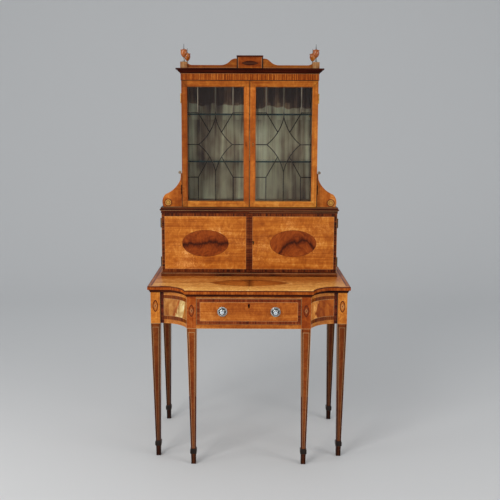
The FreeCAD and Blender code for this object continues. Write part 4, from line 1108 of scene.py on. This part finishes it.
# Painted highlight: pale above the upper shelf on the whole bar, and on the lit side of the
# moulding as sparse glints lower down.
highlit_above, highlight_tone = 1.482, (24.0, 33.0, 31.0)
bars.stain(bars.z.over(highlit_above) * 0.6, highlight_tone)
face_with(bars.polish(0.3, 0.05), "glazing_bars_left", "glazing_bars_right")
highlit_side = Finish("worn glazing bar")
highlit_side.veneer("ebony", highlit_side.cut("z"))
glint_flecks = highlit_side.noise(highlit_side.place, (240.0, 60.0, 240.0), 3.0, 0.7).rises(0.56, 12.0)
highlit_side.stain(glint_flecks.most(highlit_side.z.over(highlit_above) * 0.55), highlight_tone)
highlit_side.polish(0.3, 0.05)
for hand in ("left", "right"):
    low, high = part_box("glazing_bars_" + hand)
    shape = bmesh.new()
    for flip_x in (False, True):
        for flip_z in (False, True):
            def at(across, down):
                across = 1 - across if flip_x else across
                down = 1 - down if flip_z else down
                return Vector((
                    low.x + (high.x - low.x) * across, high.z - (high.z - low.z) * down,
                ))

            bar_across, bar_down = 0.1875, 0.2105 if flip_z else 0.2214
            corner, curve = at(bar_across, bar_down), at(0.393, 0.391)
            above, beside = at(0.5, 0.259), at(0.2, 0.5)
            for path in (
                [at(bar_across, 0), corner], [at(0, bar_down), corner], [corner, curve],
                [at(0.5, 0), above], [at(0, 0.5), beside], bent(above, curve, beside),
            ):
                run_along(shape, path, low.y)
    bmesh.ops.recalc_face_normals(shape, faces=shape.faces)
    mouldings = shaped("bar_mouldings_" + hand, shape, bars.material, highlit_side.material)
    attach(mouldings, "glazed_%s_door" % hand)

# Frieze of the case
# A band of short upright grain, cut across narrow leaves of pale and dark wood, with a
# dark line under it.
band = Finish("case frieze")
stripe = band.x + band.y
band.veneer("satinwood", band.join(band.z, stripe * 3.2, band.y))
leaves = band.noise(band.join(stripe, 0.0, 0.0), (230.0, 1.0, 1.0), 4.0, 0.8)
band.stain(leaves.rises(0.452, 12.0), (0.36, 0.21, 0.13))
band.stain(((0.42 - leaves) * 12.0).held(), (1.75, 2.6, 1.9))
band.line(band.z.under(1.6202), "ebony")
band.line(band.z.over(1.6464) * 0.5, "boxwood")
face_with(band.polish(0.36, 0.08), "case_frieze")

# Cornice
# Three mitred lengths of very dark rosewood with a hollow-and-round profile and a lip,
# fixed round the top of the case.
cornice = Finish("cornice wood")
cornice.veneer("rosewood", cornice.join(cornice.x * 0.9 + cornice.y * 0.6, cornice.z, cornice.y))
cornice.stain(1.0, (0.34, 0.20, 0.18))
face_with(cornice.polish(0.34, 0.07), "cornice")

# Gallery
# A shaped board of satinwood with low side boards, and a plain tablet in the middle with
# a dark line at each edge, a small pointed oval and a dark cap.
gallery = Finish("gallery board")
gallery.veneer("satinwood", gallery.cut("x", 0.35))
gallery.stain(1.0, (0.61, 0.56, 0.38))
gallery.line(gallery.z.between(1.6720, 1.6742) * 0.3, "boxwood")
gallery.line(gallery.z.under(1.6715), "ebony")
face_with(gallery.polish(), "gallery_boards")
tablet = Finish("gallery tablet")
tablet.veneer("satinwood", tablet.cut("x", 1.35))
tablet.stain(1.0, (0.50, 0.35, 0.31))
tablet.stain(tablet.z.under(1.6765), (1.5, 1.9, 1.6))
tablet.line(tablet.x.size().between(0.0488, 0.0520) * 0.25, "boxwood")
tablet.line(tablet.x.size().over(0.0520).most(tablet.z.under(1.6712)), "ebony")
up = tablet.z - 1.6925
in_front = tablet.y.under(0.0560)
lens = tablet.x.length(up.size() + 0.0655).under(0.0755) * in_front
tablet.line(lens, "redwood")
tablet.stain(lens, (0.45, 0.45, 0.6))
seam = up.size().under(0.0010) * tablet.x.size().under(0.030)
tablet.line(seam * in_front * 0.12, "boxwood")
tablet.veneer("rosewood", tablet.cut("x"), tablet.z.over(1.7170))
face_with(tablet.polish(0.34, 0.08), "gallery_tablet")

# Finials
# Square pale blocks at the corners carry four turned urns.  Each urn has a grey metal neck
# under an orange-brown bowl, a flat lid and a darker grey spike.
block = Finish("finial block")
block.veneer("satinwood", block.cut("z", 0.5))
block.stain(1.0, (0.80, 1.50, 4.8))
face_with(block.polish(), "finial_blocks")
bowl = Finish("turned urn")
bowl.veneer("satinwood", bowl.cut("z", 0.1))
bowl.stain(1.0, (0.86, 0.84, 0.50))
bowl.polish(0.16, 0.6)
pewter = metal("grey spike metal", (0.15, 0.15, 0.155), 0.36, (0.08, 0.08, 0.08))
neck_metal = metal("pale neck metal", (0.30, 0.29, 0.26), 0.40, (0.16, 0.15, 0.13))
urn_parts = []
block_top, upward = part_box("finial_blocks")[1].z, (0, 0, 1)
for x in (-0.2865, 0.2865):
    for y in (0.0615, 0.2535):
        foot = (x, y, block_top)
        urn_parts.append(turned("urn foot", (
            (0.0, 0.0), (0.0062, 0.0), (0.0065, 0.0008), (0.0063, 0.0022), (0.0052, 0.0032),
            (0.0044, 0.0060), (0.0034, 0.0100), (0.0026, 0.0140), (0.0034, 0.0150),
            (0.0034, 0.0158), (0.0024, 0.0168), (0.0028, 0.0190), (0.0, 0.0190),
        ), 40, foot, upward, neck_metal))
        urn_parts.append(turned("urn bowl", (
            (0.0, 0.0188), (0.0034, 0.0188), (0.0066, 0.0212), (0.0100, 0.0252), (0.0124, 0.0302),
            (0.0138, 0.0360), (0.0140, 0.0400), (0.0136, 0.0440), (0.0128, 0.0466),
            (0.0126, 0.0474), (0.0134, 0.0482), (0.0151, 0.0490), (0.0155, 0.0498),
            (0.0151, 0.0508), (0.0128, 0.0518), (0.0090, 0.0530), (0.0050, 0.0542),
            (0.0030, 0.0548), (0.0, 0.0550),
        ), 56, foot, upward, bowl.material))
        urn_parts.append(turned("urn spike", (
            (0.0, 0.0545), (0.0026, 0.0548), (0.0028, 0.0560), (0.0019, 0.0574), (0.0016, 0.0600),
            (0.0012, 0.0690), (0.0008, 0.0755), (0.0, 0.0760),
        ), 24, foot, upward, pewter))
urns = gathered("turned_urns", urn_parts)
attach(urns, "root")
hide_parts("finials")

# Scroll brackets
# Sawn satinwood scrolls beside the case, each with a turned roundel of dark and pale
# rings, and a small pale ball at the tip.  A dark ebony line along the inner edge is
# painted shade for the gap beside the door.
scroll = Finish("scroll bracket")
scroll.veneer("satinwood", scroll.cut("z", 0.65))
roundel_x, roundel_z, tip_x, tip_z = 0.36348, 1.08420, 0.31077, 1.21772
aside = scroll.x.size()
ring = (aside - roundel_x).length(scroll.z - roundel_z)
on_face = scroll.y.under(0.0765)
outer_ring = ring.between(0.0134, 0.0172) * on_face
dark_rings = outer_ring.most(ring.between(0.0068, 0.0084) * on_face)
pale_rings = ring.between(0.0084, 0.0134).most(ring.under(0.0068)) * on_face
scroll.line(dark_rings, "redwood")
scroll.line(pale_rings, "boxwood")
scroll.stain(pale_rings, (1.0, 0.85, 0.4))
scroll.stain(outer_ring, (1.5, 1.5, 1.5))
# Painted shade: a dark line along the inner edge, for the shadow in the gap beside the door.
scroll.line(aside.under(0.3030) * on_face, "ebony")
tip = (aside - tip_x).length(scroll.z - tip_z).under(0.0064)
scroll.line(tip, "boxwood")
scroll.stain(tip, (0.52, 0.74, 1.25))
face_with(scroll.polish(), "bracket_left", "bracket_right")

# Room
# A plain pale floor, a soft key lamp and weaker lamps at the sides, and the camera that
# stands where the photograph was taken from.
sweep = [(-9.0, 0.0), (3.0, 0.0)]
for step in range(1, 25):
    turn = math.radians(90 * step / 24)
    sweep.append((3.0 + 3.0 * math.sin(turn), 3.0 - 3.0 * math.cos(turn)))
sweep.append((6.0, 12.0))
ground = bpy.data.meshes.new("floor")
ground.from_pydata(
    [(x, y, z) for y, z in sweep for x in (-14.0, 14.0)], [],
    [(2 * n, 2 * n + 1, 2 * n + 3, 2 * n + 2) for n in range(len(sweep) - 1)],
)
for face in ground.polygons:
    face.use_smooth = True
floor = placed("floor", ground)
wash = bpy.data.materials.new("pale floor")
wash.use_nodes = True
wash_plugs = wash.node_tree.nodes["Principled BSDF"].inputs
wash_plugs["Base Color"].default_value = (0.68, 0.69, 0.70, 1.0)
wash_plugs["Roughness"].default_value = 0.6
ground.materials.append(wash)

world = bpy.data.worlds.new("room")
bpy.context.scene.world = world
world.use_nodes = True
sky = world.node_tree.nodes["Background"].inputs
sky["Color"].default_value = (0.86, 0.88, 0.90, 1.0)
sky["Strength"].default_value = 0.62


def lamp(name, place, target, size, power, colour):
    """A soft square lamp that faces a point."""
    light = bpy.data.lights.new(name, "AREA")
    light.shape = "SQUARE"
    light.size = size
    light.energy = power
    light.color = colour
    holder = placed(name, light)
    holder.location = place
    holder.rotation_euler = (Vector(target) - Vector(place)).to_track_quat("-Z", "Y").to_euler()


lamp("key", (-1.9, -3.0, 3.0), (0, 0, 1.0), 1.6, 62.0, (1.0, 0.97, 0.93))
lamp("right", (2.9, -2.0, 1.9), (0, 0, 0.9), 1.2, 24.0, (1.0, 0.97, 0.93))
lamp("left", (-2.9, -1.4, 1.2), (0, 0, 0.8), 1.0, 18.0, (1.0, 0.97, 0.93))

lens = bpy.data.cameras.new("camera")
lens.lens = 57.6
lens.sensor_width = 36.0
lens.clip_end = 100.0
camera = placed("camera", lens)
pitch, yaw, roll = math.radians(8.74321), math.radians(-0.021407), math.radians(0.221156)
level_share = math.cos(pitch)
forward = Vector((math.sin(yaw) * level_share, math.cos(yaw) * level_share, -math.sin(pitch)))
right = Vector((math.cos(yaw), -math.sin(yaw), 0.0))
above = right.cross(forward)
turned_right = right * math.cos(roll) + above * math.sin(roll)
turned_up = above * math.cos(roll) - right * math.sin(roll)
stand = Matrix((turned_right, turned_up, -forward)).transposed().to_4x4()
stand.translation = (0.004763, -3.495289, 1.41902)
camera.matrix_world = stand
bpy.context.scene.camera = camera
bpy.context.scene.view_settings.view_transform = "Standard"
